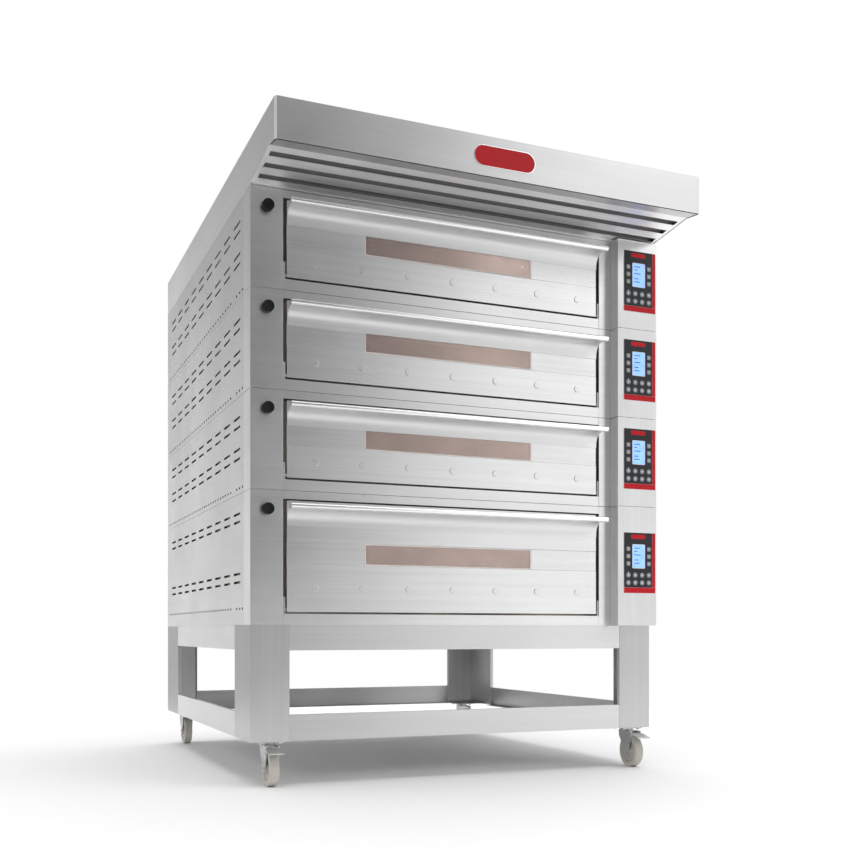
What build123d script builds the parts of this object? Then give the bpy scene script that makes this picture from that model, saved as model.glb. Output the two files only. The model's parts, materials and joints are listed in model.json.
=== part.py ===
from build123d import *

import os
from dataclasses import dataclass

# A four-deck electric bakery oven on a castor stand, under an extraction hood.
# Millimetres. +Z is up, the front faces -Y and +X is to the right, seen from the front.
# The origin is on the floor, under the middle of the whole oven's bounding box.

os.makedirs("parts", exist_ok=True)

# ---- Whole oven ----
body_width = 1630.0
body_depth = 1700.0
low_deck_count = 3
stand_height = 408.0
hood_height = 158.0
hood_overhang = 330.0
rear_reach = 30.0  # how far the pipe stubs and cable glands stand out behind the body

# ---- Sheet metal and gaps ----
sheet = 1.5
thick_sheet = 2.0
seam = 0.4  # gap between neighbouring sheet pieces
deck_seam = 1.2  # gap between stacked decks
running_clearance = 0.05  # radial, between a pin and its bore
body_gap = 0.5  # between faces of pieces that move on one another
cut_margin = 1.0  # how far a cutting shape runs past the faces that it opens

# ---- Deck front ----
left_stile_width = 117.0
pocket_width = 1278.0  # the recess that the door closes
right_stile_width = 55.0
frame_depth = 97.0
bottom_rail_height = 38.0
top_rail_height = 30.0

# ---- Baking chamber ----
low_clear_height = 180.0
tall_clear_height = 300.0
chamber_width = 1220.0
chamber_depth = 1250.0
hearth_level = 100.0  # top of the stones above the deck's bottom
deck_crown = 70.0  # from the top of the chamber's mouth to the deck's top
stone_thickness = 18.0
stone_gap = 2.0
bearer_width = 24.0
bearer_thickness = 3.0
floor_drop = 34.0  # chamber floor below the top of the stones
ceiling_rise = 24.0  # chamber roof above the clear height
element_radius = 4.0
element_count = 6
element_roof_gap = 8.0
element_floor_gap = 4.0
lamp_radius = 20.0
lamp_height = 7.0
lamp_inset = 150.0
wool_gap = 12.0  # between the wool and the outer sheets

# ---- Door ----
door_side_gap = 13.0
door_bottom_gap = 7.0
door_top_gap = 6.0
door_thickness = 50.0
door_wall = 1.5
door_end_block = 28.0
hinge_inset = 8.0  # hinge axis behind the door's face and above its bottom edge
hinge_pin_radius = 5.0
hinge_pin_reach = 20.0
bracket_thickness = 8.0
bracket_height = 60.0
band_height = 78.0  # the recessed band that holds the window
band_recess = 4.0
plate_thickness = 3.5
low_band_centre = 197.0
tall_band_centre = 252.0
window_width = 676.0
window_ledge = 8.0
pane_thickness = 4.0
screw_spread = 956.0
screw_radius = 4.5
screw_head_height = 1.25
cap_count = 7
cap_spacing = 177.0
cap_row_offset = 9.0  # the row of caps sits this far right of the door's middle
cap_radius = 12.5
cap_height = 2.5
cap_rounding = 1.5
low_cap_level = 103.0
tall_cap_level = 129.0
lip_start_drop = 110.0  # where the lip leaves the door, below the deck's top
lip_radius = 45.0
lip_thickness = 2.0
lip_tail = 12.0
handle_reach = 75.0
handle_radius = 9.5
handle_overhang = 6.0
gasket_width = 10.0
gasket_thickness = 3.5

# ---- Vent knob ----
knob_offset = 60.0  # from the body's left face
knob_drop = 68.0  # below the deck's top
knob_radius = 20.5
knob_length = 24.0
knob_neck_radius = 12.0
knob_neck_length = 5.0
knob_stem_radius = 5.0
knob_stem_length = 84.0
knob_taper = 2.0
knob_rounding = 1.5

# ---- Controls ----
control_reach = 50.0
panel_width = 148.0
panel_height = 240.0
panel_thickness = 1.5
panel_margin = 5.0  # from the overlay to the control box's outer edge
low_panel_centre = 187.0
tall_panel_centre = 247.0
display_width = 54.0
display_height = 90.0
display_rise = 26.0
display_offset = -5.0
display_thickness = 0.6
side_key_size = 17.0
side_key_pitch = 29.0
side_key_spread = 95.5
round_key_radius = 10.0
round_key_pitch = 31.7
round_key_drops = (48.0, 78.0)
key_height = 0.8
panel_corner = 6.0
key_corner = 4.0
display_corner = 3.0

# ---- Sides and back ----
slot_count = 9
slot_pitch = 165.3
slot_length = 104.0
slot_height = 9.0
slot_row_start = 150.0  # front end of the first slot, behind the front plane
low_slot_levels = (275.0, 241.0, 161.0, 127.0)
tall_slot_levels = (399.0, 370.0, 183.0, 153.0)
vent_hole_length = 18.0
vent_hole_height = 8.0
vent_hole_pitch = 45.0
vent_hole_runs = ((117.0, 3), (305.0, 27), (1505.0, 4))  # first hole behind the front, count
low_vent_level = 20.0
tall_vent_level = 58.0
steam_pipe_radius = 25.0
steam_pipe_wall = 1.5
steam_flange_radius = 36.0
gland_bore_radius = 8.0
gland_radius = 16.0
rear_fitting_spread = 130.0  # pipe and gland, in from the body's side faces
rear_fitting_level = 240.0

# ---- Hood ----
fascia_rise = 20.0  # bottom of the fascia above the top deck
corner_bevel = 7.0
lip_flange_depth = 72.0
lip_flange_rise = 9.0
cheek_flat = 8.0  # the cheek's foot, past the fascia's return flange
canopy_seam = 35.0  # where the canopy meets the housing, behind the front plane
baffle_inset = 5.0
baffle_front = -252.0
baffle_rise = 33.0
baffle_slot_width = 30.0
baffle_slot_inset = 16.0
baffle_slot_spacing = 74.0
badge_width = 236.0
badge_height = 73.0
badge_thickness = 2.0
flue_radius = 75.0
flue_height = 60.0
flue_flange_radius = 98.0
rotor_radius = 120.0
rotor_height = 60.0
rotor_blades = 14
rotor_blade_width = 26.0
rotor_blade_inset = 16.0  # middle of a blade, in from the rotor's rim
rotor_blade_angle = 35.0
rotor_ring_width = 36.0
rotor_level = 62.0
motor_radius = 55.0
motor_rounding = 6.0
motor_height = 46.0
motor_shaft_radius = 8.0

# ---- Stand ----
leg_width = 140.0
front_leg_depth = 240.0
rear_leg_depth = 281.0
leg_lip = 16.0
top_rail_depth = 90.0
bottom_rail_depth = 93.0
rail_flange = 40.0
rail_return = 15.0

# ---- Castors ----
castor_side_inset = 75.0
castor_end_inset = 50.0
castor_trail = 35.0
castor_plate_size = 90.0
castor_plate_thickness = 4.0
castor_bolt_spacing = 66.0
castor_bolt_radius = 7.5
castor_bolt_height = 5.0
wheel_radius = 62.5
wheel_width = 34.0
axle_radius = 6.0
hub_radius = 17.0
hub_proud = 2.0
web_recess = 6.0
tyre_height = 16.0
tyre_step = 4.0
tread_rounding = 6.0
wheel_headroom = 11.5  # from the tyre to the fork's crown
cheek_thickness = 4.0
cheek_gap = 3.0
cheek_drop = 14.0  # straight part of a cheek's edges, below the crown
cheek_nose = 8.0  # from the brake pedal's pin to the cheek's front edge
axle_boss_radius = 15.0
axle_head = 3.0
crown_thickness = 6.0
crown_corner = 8.0
crown_setback = 2.0  # front of the crown, past the axle
crown_overhang = 9.0  # back of the crown, past the cheeks
raceway_radius = 27.0
raceway_height = 8.0
kingpin_radius = 6.0
nut_radius = 9.5
nut_height = 4.0
pedal_width = 56.0
pedal_length = 78.0  # from the axle to the pedal's tip
pedal_thickness = 5.0
pedal_pin_radius = 3.0
pedal_pin_reach = 25.0  # pedal pin, in front of the wheel's axle
pedal_pin_drop = 7.0  # pedal pin, below the crown
pedal_eye_radius = 5.5
pedal_neck = 10.0  # from the pedal's pin to its plate
pedal_slope = 12.0
pedal_rounding = 1.5

# ---- Planes worked out from the sizes above ----
overall_depth = badge_thickness + hood_overhang + body_depth + rear_reach
left = -body_width / 2
right = body_width / 2
front = badge_thickness + hood_overhang - overall_depth / 2
back = front + body_depth
crown_bottom = 2 * wheel_radius + wheel_headroom
crown_top = crown_bottom + crown_thickness
raceway_bottom = crown_top + body_gap
plate_bottom = raceway_bottom + raceway_height
castor_height = plate_bottom + castor_plate_thickness
pedal_pin_z = crown_bottom - pedal_pin_drop
stand_top = castor_height + stand_height
pocket_depth = door_thickness + body_gap + gasket_thickness
pocket_left = left + left_stile_width
pocket_right = pocket_left + pocket_width
frame_right = pocket_right + right_stile_width
door_left = pocket_left + door_side_gap
door_right = pocket_right - door_side_gap
door_middle = (door_left + door_right) / 2
chamber_left = door_middle - chamber_width / 2
chamber_right = door_middle + chamber_width / 2
chamber_front = front + pocket_depth + sheet
chamber_back = chamber_front + chamber_depth
control_middle = right - panel_margin - panel_width / 2
control_front = front - control_reach


@dataclass(frozen=True)
class Deck:
    """One baking deck, with the levels that change between a low and a tall one."""

    name: str
    base: float
    clear_height: float
    band_centre: float
    cap_level: float
    panel_centre: float
    slot_levels: tuple
    vent_level: float

    @property
    def height(self):
        return hearth_level + self.clear_height + deck_crown

    @property
    def top(self):
        return self.base + self.height

    @property
    def mouth(self):
        """Lower and upper limit of the chamber's mouth."""
        return self.base + hearth_level, self.base + hearth_level + self.clear_height

    @property
    def inside(self):
        """Lower and upper limit of the chamber between its floor and roof sheets."""
        return self.mouth[0] - floor_drop, self.mouth[1] + ceiling_rise

    @property
    def door_levels(self):
        """Lower and upper edge of the door."""
        bottom = self.base + bottom_rail_height + door_bottom_gap
        return bottom, self.top - top_rail_height - door_top_gap

    @property
    def band(self):
        """Lower and upper edge of the recessed window band."""
        centre = self.base + self.band_centre
        return centre - band_height / 2, centre + band_height / 2


def make_decks():
    """Stack the tall deck and the low decks above it, from the stand upwards."""
    decks = [
        Deck("deck_1", stand_top, tall_clear_height, tall_band_centre, tall_cap_level,
             tall_panel_centre, tall_slot_levels, tall_vent_level)
    ]
    for number in range(2, low_deck_count + 2):
        decks.append(
            Deck(f"deck_{number}", decks[-1].top, low_clear_height, low_band_centre,
                 low_cap_level, low_panel_centre, low_slot_levels, low_vent_level)
        )
    return decks


decks = make_decks()
hood_base = decks[-1].top
hood_top = hood_base + hood_height
hinge_y = front + hinge_inset


def hinge_z(deck):
    """Height of a door's hinge axis."""
    return deck.door_levels[0] + hinge_inset


def save(piece, name):
    """Label a finished piece and write it as its own node."""
    piece.part.label = name
    export_step(piece.part, f"parts/{name}.step")


def block(x, y, z, mode=Mode.ADD):
    """Add or cut a box between two limits along each axis."""
    with Locations(((x[0] + x[1]) / 2, (y[0] + y[1]) / 2, (z[0] + z[1]) / 2)):
        Box(x[1] - x[0], y[1] - y[0], z[1] - z[0], mode=mode)


def inset(limits, amount):
    """Move both limits of a span inwards."""
    return limits[0] + amount, limits[1] - amount


def hollow_block(x, y, z, wall=sheet):
    """Add a closed box of sheet metal."""
    block(x, y, z)
    block(inset(x, wall), inset(y, wall), inset(z, wall), mode=Mode.SUBTRACT)


def rod(radius, start, length, direction, mode=Mode.ADD):
    """Add or cut a round bar that starts at a point and runs along a direction."""
    with Locations(Plane(origin=start, z_dir=direction)):
        Cylinder(radius, length, align=(Align.CENTER, Align.CENTER, Align.MIN), mode=mode)


# ---- Decks: fronts ----


def make_front_frame(deck):
    """Two stiles and two rails of folded sheet around the door's recess."""
    levels = (deck.base, deck.top - deck_seam)
    knob_x = left + knob_offset
    knob_z = deck.top - knob_drop
    with BuildPart() as frame:
        hollow_block((left, pocket_left - seam), (front, front + frame_depth), levels)
        rod(knob_stem_radius + running_clearance, (knob_x, front, knob_z), thick_sheet,
            (0, 1, 0), mode=Mode.SUBTRACT)
        hollow_block((pocket_right + seam, frame_right), (front, front + frame_depth), levels)
        rail_y = (front, front + pocket_depth)
        rail_x = (pocket_left, pocket_right)
        hollow_block(rail_x, rail_y, (deck.base, deck.base + bottom_rail_height))
        hollow_block(rail_x, rail_y, (deck.top - top_rail_height, levels[1]))
    save(frame, f"{deck.name}_front_frame")


def make_door_panel(deck):
    """The door's hollow casing, with a band recess, a window and two hinge bores."""
    x = (door_left, door_right)
    y = (front, front + door_thickness)
    z = deck.door_levels
    window_x = (door_middle - window_width / 2 + window_ledge,
                door_middle + window_width / 2 - window_ledge)
    window_z = inset(deck.band, window_ledge)
    surround = door_wall * 2
    with BuildPart() as panel:
        block(x, y, z)
        cavity_y = (front + band_recess + door_wall, y[1] - door_wall)
        block(inset(x, door_end_block), cavity_y, inset(z, door_wall), mode=Mode.SUBTRACT)
        block(inset(window_x, -surround), cavity_y, inset(window_z, -surround))
        block(window_x, inset(y, -cut_margin), window_z, mode=Mode.SUBTRACT)
        block(inset(x, -cut_margin), (front - cut_margin, front + band_recess), deck.band,
              mode=Mode.SUBTRACT)
        bore = hinge_pin_radius + running_clearance
        bore_depth = hinge_pin_reach + body_gap
        rod(bore, (x[0], hinge_y, hinge_z(deck)), bore_depth, (1, 0, 0), mode=Mode.SUBTRACT)
        rod(bore, (x[1], hinge_y, hinge_z(deck)), bore_depth, (-1, 0, 0), mode=Mode.SUBTRACT)
    save(panel, f"{deck.name}_door_panel")


def make_door_handle(deck):
    """A lip that curves forward out of the door's face and ends in a round bar."""
    lip_line = front - lip_thickness / 2
    lip_z = deck.top - lip_start_drop
    bar_centre = (front - handle_reach, lip_z + lip_radius + handle_radius / 2)
    with BuildPart() as handle:
        with BuildSketch(Plane.YZ.offset(door_left)):
            with BuildLine():
                tail = Line((lip_line, lip_z - lip_tail), (lip_line, lip_z))
                bend = JernArc(start=tail @ 1, tangent=tail % 1, radius=lip_radius, arc_size=90)
                Line(bend @ 1, (bar_centre[0], (bend @ 1).Y))
            trace(line_width=lip_thickness)
        extrude(amount=door_right - door_left)
        with BuildSketch(Plane.YZ.offset(door_left - handle_overhang)):
            with Locations(bar_centre):
                Circle(handle_radius)
        extrude(amount=door_right - door_left + 2 * handle_overhang)
    save(handle, f"{deck.name}_door_handle")


def make_door_glass(deck):
    """An outer pane in the band and an inner pane in the window, flush with the casing."""
    window_x = (door_middle - window_width / 2, door_middle + window_width / 2)
    outer_y = (front + band_recess - plate_thickness, front + band_recess)
    inner_back = front + door_thickness - door_wall
    with BuildPart() as glass:
        block(inset(window_x, seam / 2), outer_y, inset(deck.band, seam))
        inner_x = inset(window_x, window_ledge)
        inner_z = inset(deck.band, window_ledge)
        block(inset(inner_x, seam), (inner_back - pane_thickness, inner_back),
              inset(inner_z, seam))
    save(glass, f"{deck.name}_door_glass")


def make_door_trim(deck):
    """Two band plates with a screw each, and a row of low round caps."""
    plate_y = (front + band_recess - plate_thickness, front + band_recess)
    window_half = window_width / 2 + seam / 2
    screw_z = deck.base + deck.band_centre
    with BuildPart() as trim:
        block((door_left + seam, door_middle - window_half), plate_y, inset(deck.band, seam))
        block((door_middle + window_half, door_right - seam), plate_y, inset(deck.band, seam))
        for side in (-1, 1):
            screw_x = door_middle + side * screw_spread / 2
            rod(screw_radius, (screw_x, plate_y[0], screw_z), screw_head_height, (0, -1, 0))
        for number in range(cap_count):
            cap_x = door_middle + cap_row_offset + (number - (cap_count - 1) / 2) * cap_spacing
            rod(cap_radius, (cap_x, front, deck.base + deck.cap_level), cap_height, (0, -1, 0))
        fillet(trim.edges().filter_by(GeomType.CIRCLE).group_by(Axis.Y)[0], cap_rounding)
    save(trim, f"{deck.name}_door_trim")


def make_vent_knob(deck):
    """A pull knob on a stem that slides through the left stile."""
    knob_z = deck.top - knob_drop
    with BuildPart() as knob:
        with BuildSketch(Plane.XY) as profile:
            with BuildLine():
                Polyline(
                    (0, -knob_stem_length),
                    (knob_stem_radius, -knob_stem_length),
                    (knob_stem_radius, body_gap),
                    (knob_neck_radius, body_gap),
                    (knob_neck_radius, knob_neck_length),
                    (knob_radius, knob_neck_length + knob_taper),
                    (knob_radius, knob_length),
                    (0, knob_length),
                    close=True,
                )
            make_face()
            fillet(profile.vertices().group_by(Axis.X)[-1], knob_rounding)
        revolve(axis=Axis.Y)
    place = Location((left + knob_offset, front, knob_z), (0, 0, 180))
    knob.part = place * knob.part
    save(knob, f"{deck.name}_vent_knob")


for deck in decks:
    make_front_frame(deck)
    make_door_panel(deck)
    make_door_handle(deck)
    make_door_glass(deck)
    make_door_trim(deck)
    make_vent_knob(deck)


# ---- Door hinges and gaskets ----

with BuildPart() as hinges:
    for deck in decks:
        bracket_y = (front + thick_sheet, front + door_thickness - thick_sheet)
        bracket_z = (deck.base + bottom_rail_height + seam,
                     deck.base + bottom_rail_height + bracket_height)
        block((pocket_left, pocket_left + bracket_thickness), bracket_y, bracket_z)
        block((pocket_right - bracket_thickness, pocket_right), bracket_y, bracket_z)
        pin_length = door_side_gap + hinge_pin_reach
        rod(hinge_pin_radius, (pocket_left, hinge_y, hinge_z(deck)), pin_length, (1, 0, 0))
        rod(hinge_pin_radius, (pocket_right, hinge_y, hinge_z(deck)), pin_length, (-1, 0, 0))
save(hinges, "door_hinges")

with BuildPart() as gaskets:
    for deck in decks:
        gasket_y = (front + door_thickness + body_gap, front + pocket_depth)
        opening_x = (chamber_left, chamber_right)
        block(inset(opening_x, -gasket_width), gasket_y, inset(deck.mouth, -gasket_width))
        block(opening_x, inset(gasket_y, -cut_margin), deck.mouth, mode=Mode.SUBTRACT)
save(gaskets, "door_gaskets")


# ---- Baking chambers and what is inside them ----


def add_chamber(deck):
    """Floor, roof, walls and the four strips that frame the mouth, as separate sheets."""
    low, high = deck.inside
    outer_x = inset((chamber_left, chamber_right), -sheet)
    depth = (chamber_front, chamber_back)
    block(outer_x, depth, (low - sheet, low))
    block(outer_x, depth, (high, high + sheet))
    block((outer_x[0], chamber_left), depth, (low + seam, high - seam))
    block((chamber_right, outer_x[1]), depth, (low + seam, high - seam))
    block(outer_x, (chamber_back + seam, chamber_back + seam + sheet), (low - sheet, high + sheet))
    face_y = (front + pocket_depth, chamber_front - seam)
    recess_x = (pocket_left + seam, pocket_right - seam)
    recess_z = (deck.base + seam, deck.top - deck_seam - seam)
    block(recess_x, face_y, (recess_z[0], deck.mouth[0]))
    block(recess_x, face_y, (deck.mouth[1], recess_z[1]))
    block((recess_x[0], chamber_left), face_y, inset(deck.mouth, seam))
    block((chamber_right, recess_x[1]), face_y, inset(deck.mouth, seam))


def add_bearers(deck):
    """Three flat bars from front to back that carry the stones: two at the walls, one between."""
    stone_bottom = deck.mouth[0] - stone_thickness
    for bar_x in (chamber_left + seam + bearer_width / 2, door_middle,
                  chamber_right - seam - bearer_width / 2):
        block((bar_x - bearer_width / 2, bar_x + bearer_width / 2),
              inset((chamber_front, chamber_back), seam),
              (stone_bottom - bearer_thickness, stone_bottom))


def add_stones(deck):
    """Two refractory slabs side by side, on the three bearers."""
    top = deck.mouth[0]
    stone_y = inset((chamber_front, chamber_back), stone_gap)
    stone_z = (top - stone_thickness, top)
    block((chamber_left + stone_gap, door_middle - stone_gap / 2), stone_y, stone_z)
    block((door_middle + stone_gap / 2, chamber_right - stone_gap), stone_y, stone_z)


def add_elements(deck):
    """Straight sheathed elements under the roof and under the stones."""
    low, high = deck.inside
    pitch = chamber_depth / element_count
    levels = (low + element_floor_gap + element_radius, high - element_roof_gap - element_radius)
    for number in range(element_count):
        y = chamber_front + (number + 0.5) * pitch
        for z in levels:
            rod(element_radius, (chamber_left, y, z), chamber_width, (1, 0, 0))


def add_insulation(deck):
    """Mineral wool slabs below, above, beside and behind one chamber."""
    low, high = deck.inside
    gap = sheet + seam
    slab_y = (front + frame_depth + seam, back - sheet - wool_gap)
    wide = (left + sheet + wool_gap, frame_right - sheet - seam)
    block(wide, slab_y, (deck.base + sheet + seam, low - gap))
    block(wide, slab_y, (high + gap, deck.top - deck_seam - seam))
    wall_z = (low - gap + seam, high + gap - seam)
    block((wide[0], chamber_left - gap), slab_y, wall_z)
    block((chamber_right + gap, wide[1]), slab_y, wall_z)
    block((chamber_left - gap + seam, chamber_right + gap - seam),
          (chamber_back + gap + seam, slab_y[1]), wall_z)


with BuildPart() as chambers:
    for deck in decks:
        add_chamber(deck)
        add_bearers(deck)
save(chambers, "chambers")

with BuildPart() as stones:
    for deck in decks:
        add_stones(deck)
save(stones, "hearth_stones")

with BuildPart() as elements:
    for deck in decks:
        add_elements(deck)
save(elements, "heating_elements")

with BuildPart() as insulation:
    for deck in decks:
        add_insulation(deck)
save(insulation, "insulation")

with BuildPart() as lamps:
    for deck in decks:
        for side_x in (chamber_left + lamp_inset, chamber_right - lamp_inset):
            lamp_y = chamber_front + chamber_depth / element_count
            rod(lamp_radius, (side_x, lamp_y, deck.inside[1]), lamp_height, (0, 0, -1))
save(lamps, "oven_lamps")


# ---- Outer panels ----


def add_side_sheet(deck, x):
    """One side sheet with four rows of louvre slots and a row of vent holes."""
    level = deck.base
    depth = (front + frame_depth + seam, back)
    middle_y = (depth[0] + depth[1]) / 2
    middle_z = (deck.base + deck.top - deck_seam) / 2
    slot_middle = front + slot_row_start + slot_length / 2 + slot_pitch * (slot_count - 1) / 2
    with BuildSketch(Plane.YZ.offset(x)) as side_sheet:
        with Locations((middle_y, middle_z)):
            Rectangle(depth[1] - depth[0], deck.height - deck_seam)
        for row in deck.slot_levels:
            with Locations((slot_middle, level + row)):
                with GridLocations(slot_pitch, 1, slot_count, 1):
                    SlotOverall(slot_length, slot_height, mode=Mode.SUBTRACT)
        for start, count in vent_hole_runs:
            run_middle = front + start + vent_hole_pitch * (count - 1) / 2
            with Locations((run_middle, level + deck.vent_level)):
                with GridLocations(vent_hole_pitch, 1, count, 1):
                    SlotOverall(vent_hole_length, vent_hole_height, mode=Mode.SUBTRACT)
    extrude(side_sheet.sketch, amount=sheet)


with BuildPart() as side_panels:
    for deck in decks:
        add_side_sheet(deck, left)
        add_side_sheet(deck, right - sheet)
save(side_panels, "side_panels")

pipe_x = left + rear_fitting_spread
gland_x = right - rear_fitting_spread
with BuildPart() as rear_panels:
    for deck in decks:
        panel_x = inset((left, right), sheet + seam)
        block(panel_x, (back - sheet, back), (deck.base, deck.top - deck_seam))
        fitting_z = deck.base + rear_fitting_level
        hole_start = back - 2 * sheet
        rod(steam_pipe_radius + seam, (pipe_x, hole_start, fitting_z), 3 * sheet, (0, 1, 0),
            mode=Mode.SUBTRACT)
        rod(gland_bore_radius + seam, (gland_x, hole_start, fitting_z), 3 * sheet, (0, 1, 0),
            mode=Mode.SUBTRACT)
save(rear_panels, "rear_panels")

with BuildPart() as fittings:
    for deck in decks:
        fitting_z = deck.base + rear_fitting_level
        pipe_start = (pipe_x, back, fitting_z)
        rod(steam_flange_radius, pipe_start, sheet, (0, 1, 0))
        rod(steam_pipe_radius, pipe_start, rear_reach, (0, 1, 0))
        rod(steam_pipe_radius - steam_pipe_wall, pipe_start, rear_reach, (0, 1, 0),
            mode=Mode.SUBTRACT)
        rod(gland_radius, (gland_x, back, fitting_z), rear_reach, (0, 1, 0))
        rod(gland_bore_radius, (gland_x, back, fitting_z), rear_reach, (0, 1, 0),
            mode=Mode.SUBTRACT)
save(fittings, "rear_fittings")

with BuildPart() as deck_floors:
    for deck in decks:
        block(inset((left, right), sheet + seam),
              (front + frame_depth + seam, back - sheet - seam),
              (deck.base, deck.base + sheet))
save(deck_floors, "deck_floors")


# ---- Controls ----

with BuildPart() as control_boxes:
    for deck in decks:
        box_z = (deck.base, deck.top - deck_seam)
        hollow_block((frame_right + seam, right), (control_front, front + frame_depth), box_z)
save(control_boxes, "control_boxes")

with BuildPart() as control_panels:
    for deck in decks:
        panel_z = deck.base + deck.panel_centre
        display_z = panel_z + display_rise
        with BuildSketch(Plane.XZ.offset(-control_front)):
            with Locations((control_middle, panel_z)):
                RectangleRounded(panel_width, panel_height, panel_corner)
        extrude(amount=panel_thickness)
        with BuildSketch(Plane.XZ.offset(-control_front + panel_thickness)):
            with Locations((control_middle + display_offset, display_z)):
                with GridLocations(side_key_spread, side_key_pitch, 2, 3):
                    RectangleRounded(side_key_size, side_key_size, key_corner)
            for drop in round_key_drops:
                with Locations((control_middle + display_offset, panel_z - drop)):
                    with GridLocations(round_key_pitch, 1, 4, 1):
                        Circle(round_key_radius)
        extrude(amount=key_height)
save(control_panels, "control_panels")

with BuildPart() as displays:
    for deck in decks:
        display_z = deck.base + deck.panel_centre + display_rise
        with BuildSketch(Plane.XZ.offset(-control_front + panel_thickness)):
            with Locations((control_middle + display_offset, display_z)):
                RectangleRounded(display_width, display_height, display_corner)
        extrude(amount=display_thickness)
save(displays, "displays")


# ---- Hood ----

fascia_front = front - hood_overhang
fascia_bottom = hood_base + fascia_rise
canopy_back = front + canopy_seam

with BuildPart() as fascia:
    half = body_width / 2
    with BuildSketch(Plane.XY.offset(fascia_bottom)):
        with BuildLine():
            Polyline(
                (-half, fascia_front + corner_bevel),
                (-half + corner_bevel, fascia_front),
                (half - corner_bevel, fascia_front),
                (half, fascia_front + corner_bevel),
                (half - sheet, fascia_front + corner_bevel),
                (half - corner_bevel, fascia_front + sheet),
                (-half + corner_bevel, fascia_front + sheet),
                (-half + sheet, fascia_front + corner_bevel),
                close=True,
            )
        make_face()
    extrude(amount=hood_top - fascia_bottom)
    flange_start = fascia_front + sheet
    flange_end = fascia_front + lip_flange_depth
    with BuildSketch(Plane.YZ.offset(left + corner_bevel)):
        with BuildLine():
            Polyline(
                (flange_start, fascia_bottom),
                (flange_end, fascia_bottom + lip_flange_rise),
                (flange_end, fascia_bottom + lip_flange_rise + sheet),
                (flange_start, fascia_bottom + sheet),
                close=True,
            )
        make_face()
    extrude(amount=body_width - 2 * corner_bevel)
save(fascia, "hood_fascia")

with BuildPart() as canopy:
    cheek_front = fascia_front + corner_bevel + seam
    for cheek_x in (left, right - sheet):
        with BuildSketch(Plane.YZ.offset(cheek_x)):
            with BuildLine():
                Polyline(
                    (cheek_front, hood_top),
                    (cheek_front, fascia_bottom),
                    (fascia_front + lip_flange_depth + cheek_flat,
                     fascia_bottom + lip_flange_rise),
                    (front, hood_base + seam),
                    (canopy_back - seam, hood_base + seam),
                    (canopy_back - seam, hood_top),
                    close=True,
                )
            make_face()
        extrude(amount=sheet)
    block(inset((left, right), sheet + seam), (cheek_front, canopy_back - seam),
          (hood_top - sheet, hood_top))
save(canopy, "hood_canopy")

baffle_low = Vector(0, front - baffle_inset, hood_base + baffle_inset)
baffle_high = Vector(0, front + baffle_front, hood_base + baffle_rise)
baffle_run = baffle_high - baffle_low
baffle_plane = Plane(
    origin=(baffle_low + baffle_high) / 2,
    x_dir=(1, 0, 0),
    z_dir=Vector(1, 0, 0).cross(baffle_run),
)
with BuildPart() as baffle:
    with BuildSketch(baffle_plane):
        Rectangle(body_width - 2 * (sheet + seam), baffle_run.length)
        with GridLocations(1, baffle_slot_spacing, 1, 3):
            Rectangle(body_width - 2 * baffle_slot_inset, baffle_slot_width, mode=Mode.SUBTRACT)
    extrude(amount=sheet)
save(baffle, "hood_baffle")

with BuildPart() as badge:
    badge_z = (fascia_bottom + hood_top) / 2
    with BuildSketch(Plane.XZ.offset(-fascia_front)):
        with Locations((0, badge_z)):
            SlotOverall(badge_width, badge_height)
    extrude(amount=badge_thickness)
    fillet(badge.faces().sort_by(Axis.Y)[0].edges(), badge_thickness / 2)
save(badge, "hood_badge")

flue_y = (canopy_back + back) / 2
with BuildPart() as housing:
    wall_y = (canopy_back, back)
    wall_z = (hood_base + sheet + seam, hood_top - sheet - seam)
    inner_x = inset((left, right), sheet + seam)
    block((left, left + sheet), wall_y, (hood_base + seam, hood_top))
    block((right - sheet, right), wall_y, (hood_base + seam, hood_top))
    block(inner_x, (back - sheet, back), wall_z)
    block(inner_x, wall_y, (hood_base + seam, hood_base + sheet + seam / 2))
    block(inner_x, wall_y, (hood_top - sheet, hood_top))
    rod(flue_radius - sheet, (0, flue_y, hood_top - 2 * sheet), 3 * sheet, (0, 0, 1),
        mode=Mode.SUBTRACT)
save(housing, "hood_housing")

motor_base = hood_base + sheet + seam / 2
with BuildPart() as motor:
    rod(motor_radius, (0, flue_y, motor_base), motor_height, (0, 0, 1))
    fillet(motor.edges().group_by(Axis.Z)[-1], motor_rounding)
    shaft_length = rotor_level + rotor_height / 2 - sheet
    rod(motor_shaft_radius, (0, flue_y, motor_base), shaft_length, (0, 0, 1))
save(motor, "hood_fan_motor")

with BuildPart() as rotor:
    rotor_z = hood_base + rotor_level
    rod(rotor_radius, (0, flue_y, rotor_z), thick_sheet, (0, 0, 1))
    rod(motor_shaft_radius * 2, (0, flue_y, rotor_z), rotor_height / 2, (0, 0, 1))
    with BuildSketch(Plane.XY.offset(rotor_z + thick_sheet)):
        with Locations((0, flue_y)):
            with PolarLocations(rotor_radius - rotor_blade_inset, rotor_blades):
                Rectangle(rotor_blade_width, thick_sheet, rotation=rotor_blade_angle)
    extrude(amount=rotor_height - 2 * thick_sheet)
    with BuildSketch(Plane.XY.offset(rotor_z + rotor_height - thick_sheet)):
        with Locations((0, flue_y)):
            Circle(rotor_radius)
            Circle(rotor_radius - rotor_ring_width, mode=Mode.SUBTRACT)
    extrude(amount=thick_sheet)
    rod(motor_shaft_radius + running_clearance, (0, flue_y, rotor_z - cut_margin),
        rotor_height + 2 * cut_margin, (0, 0, 1), mode=Mode.SUBTRACT)
save(rotor, "hood_fan_rotor")

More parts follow.
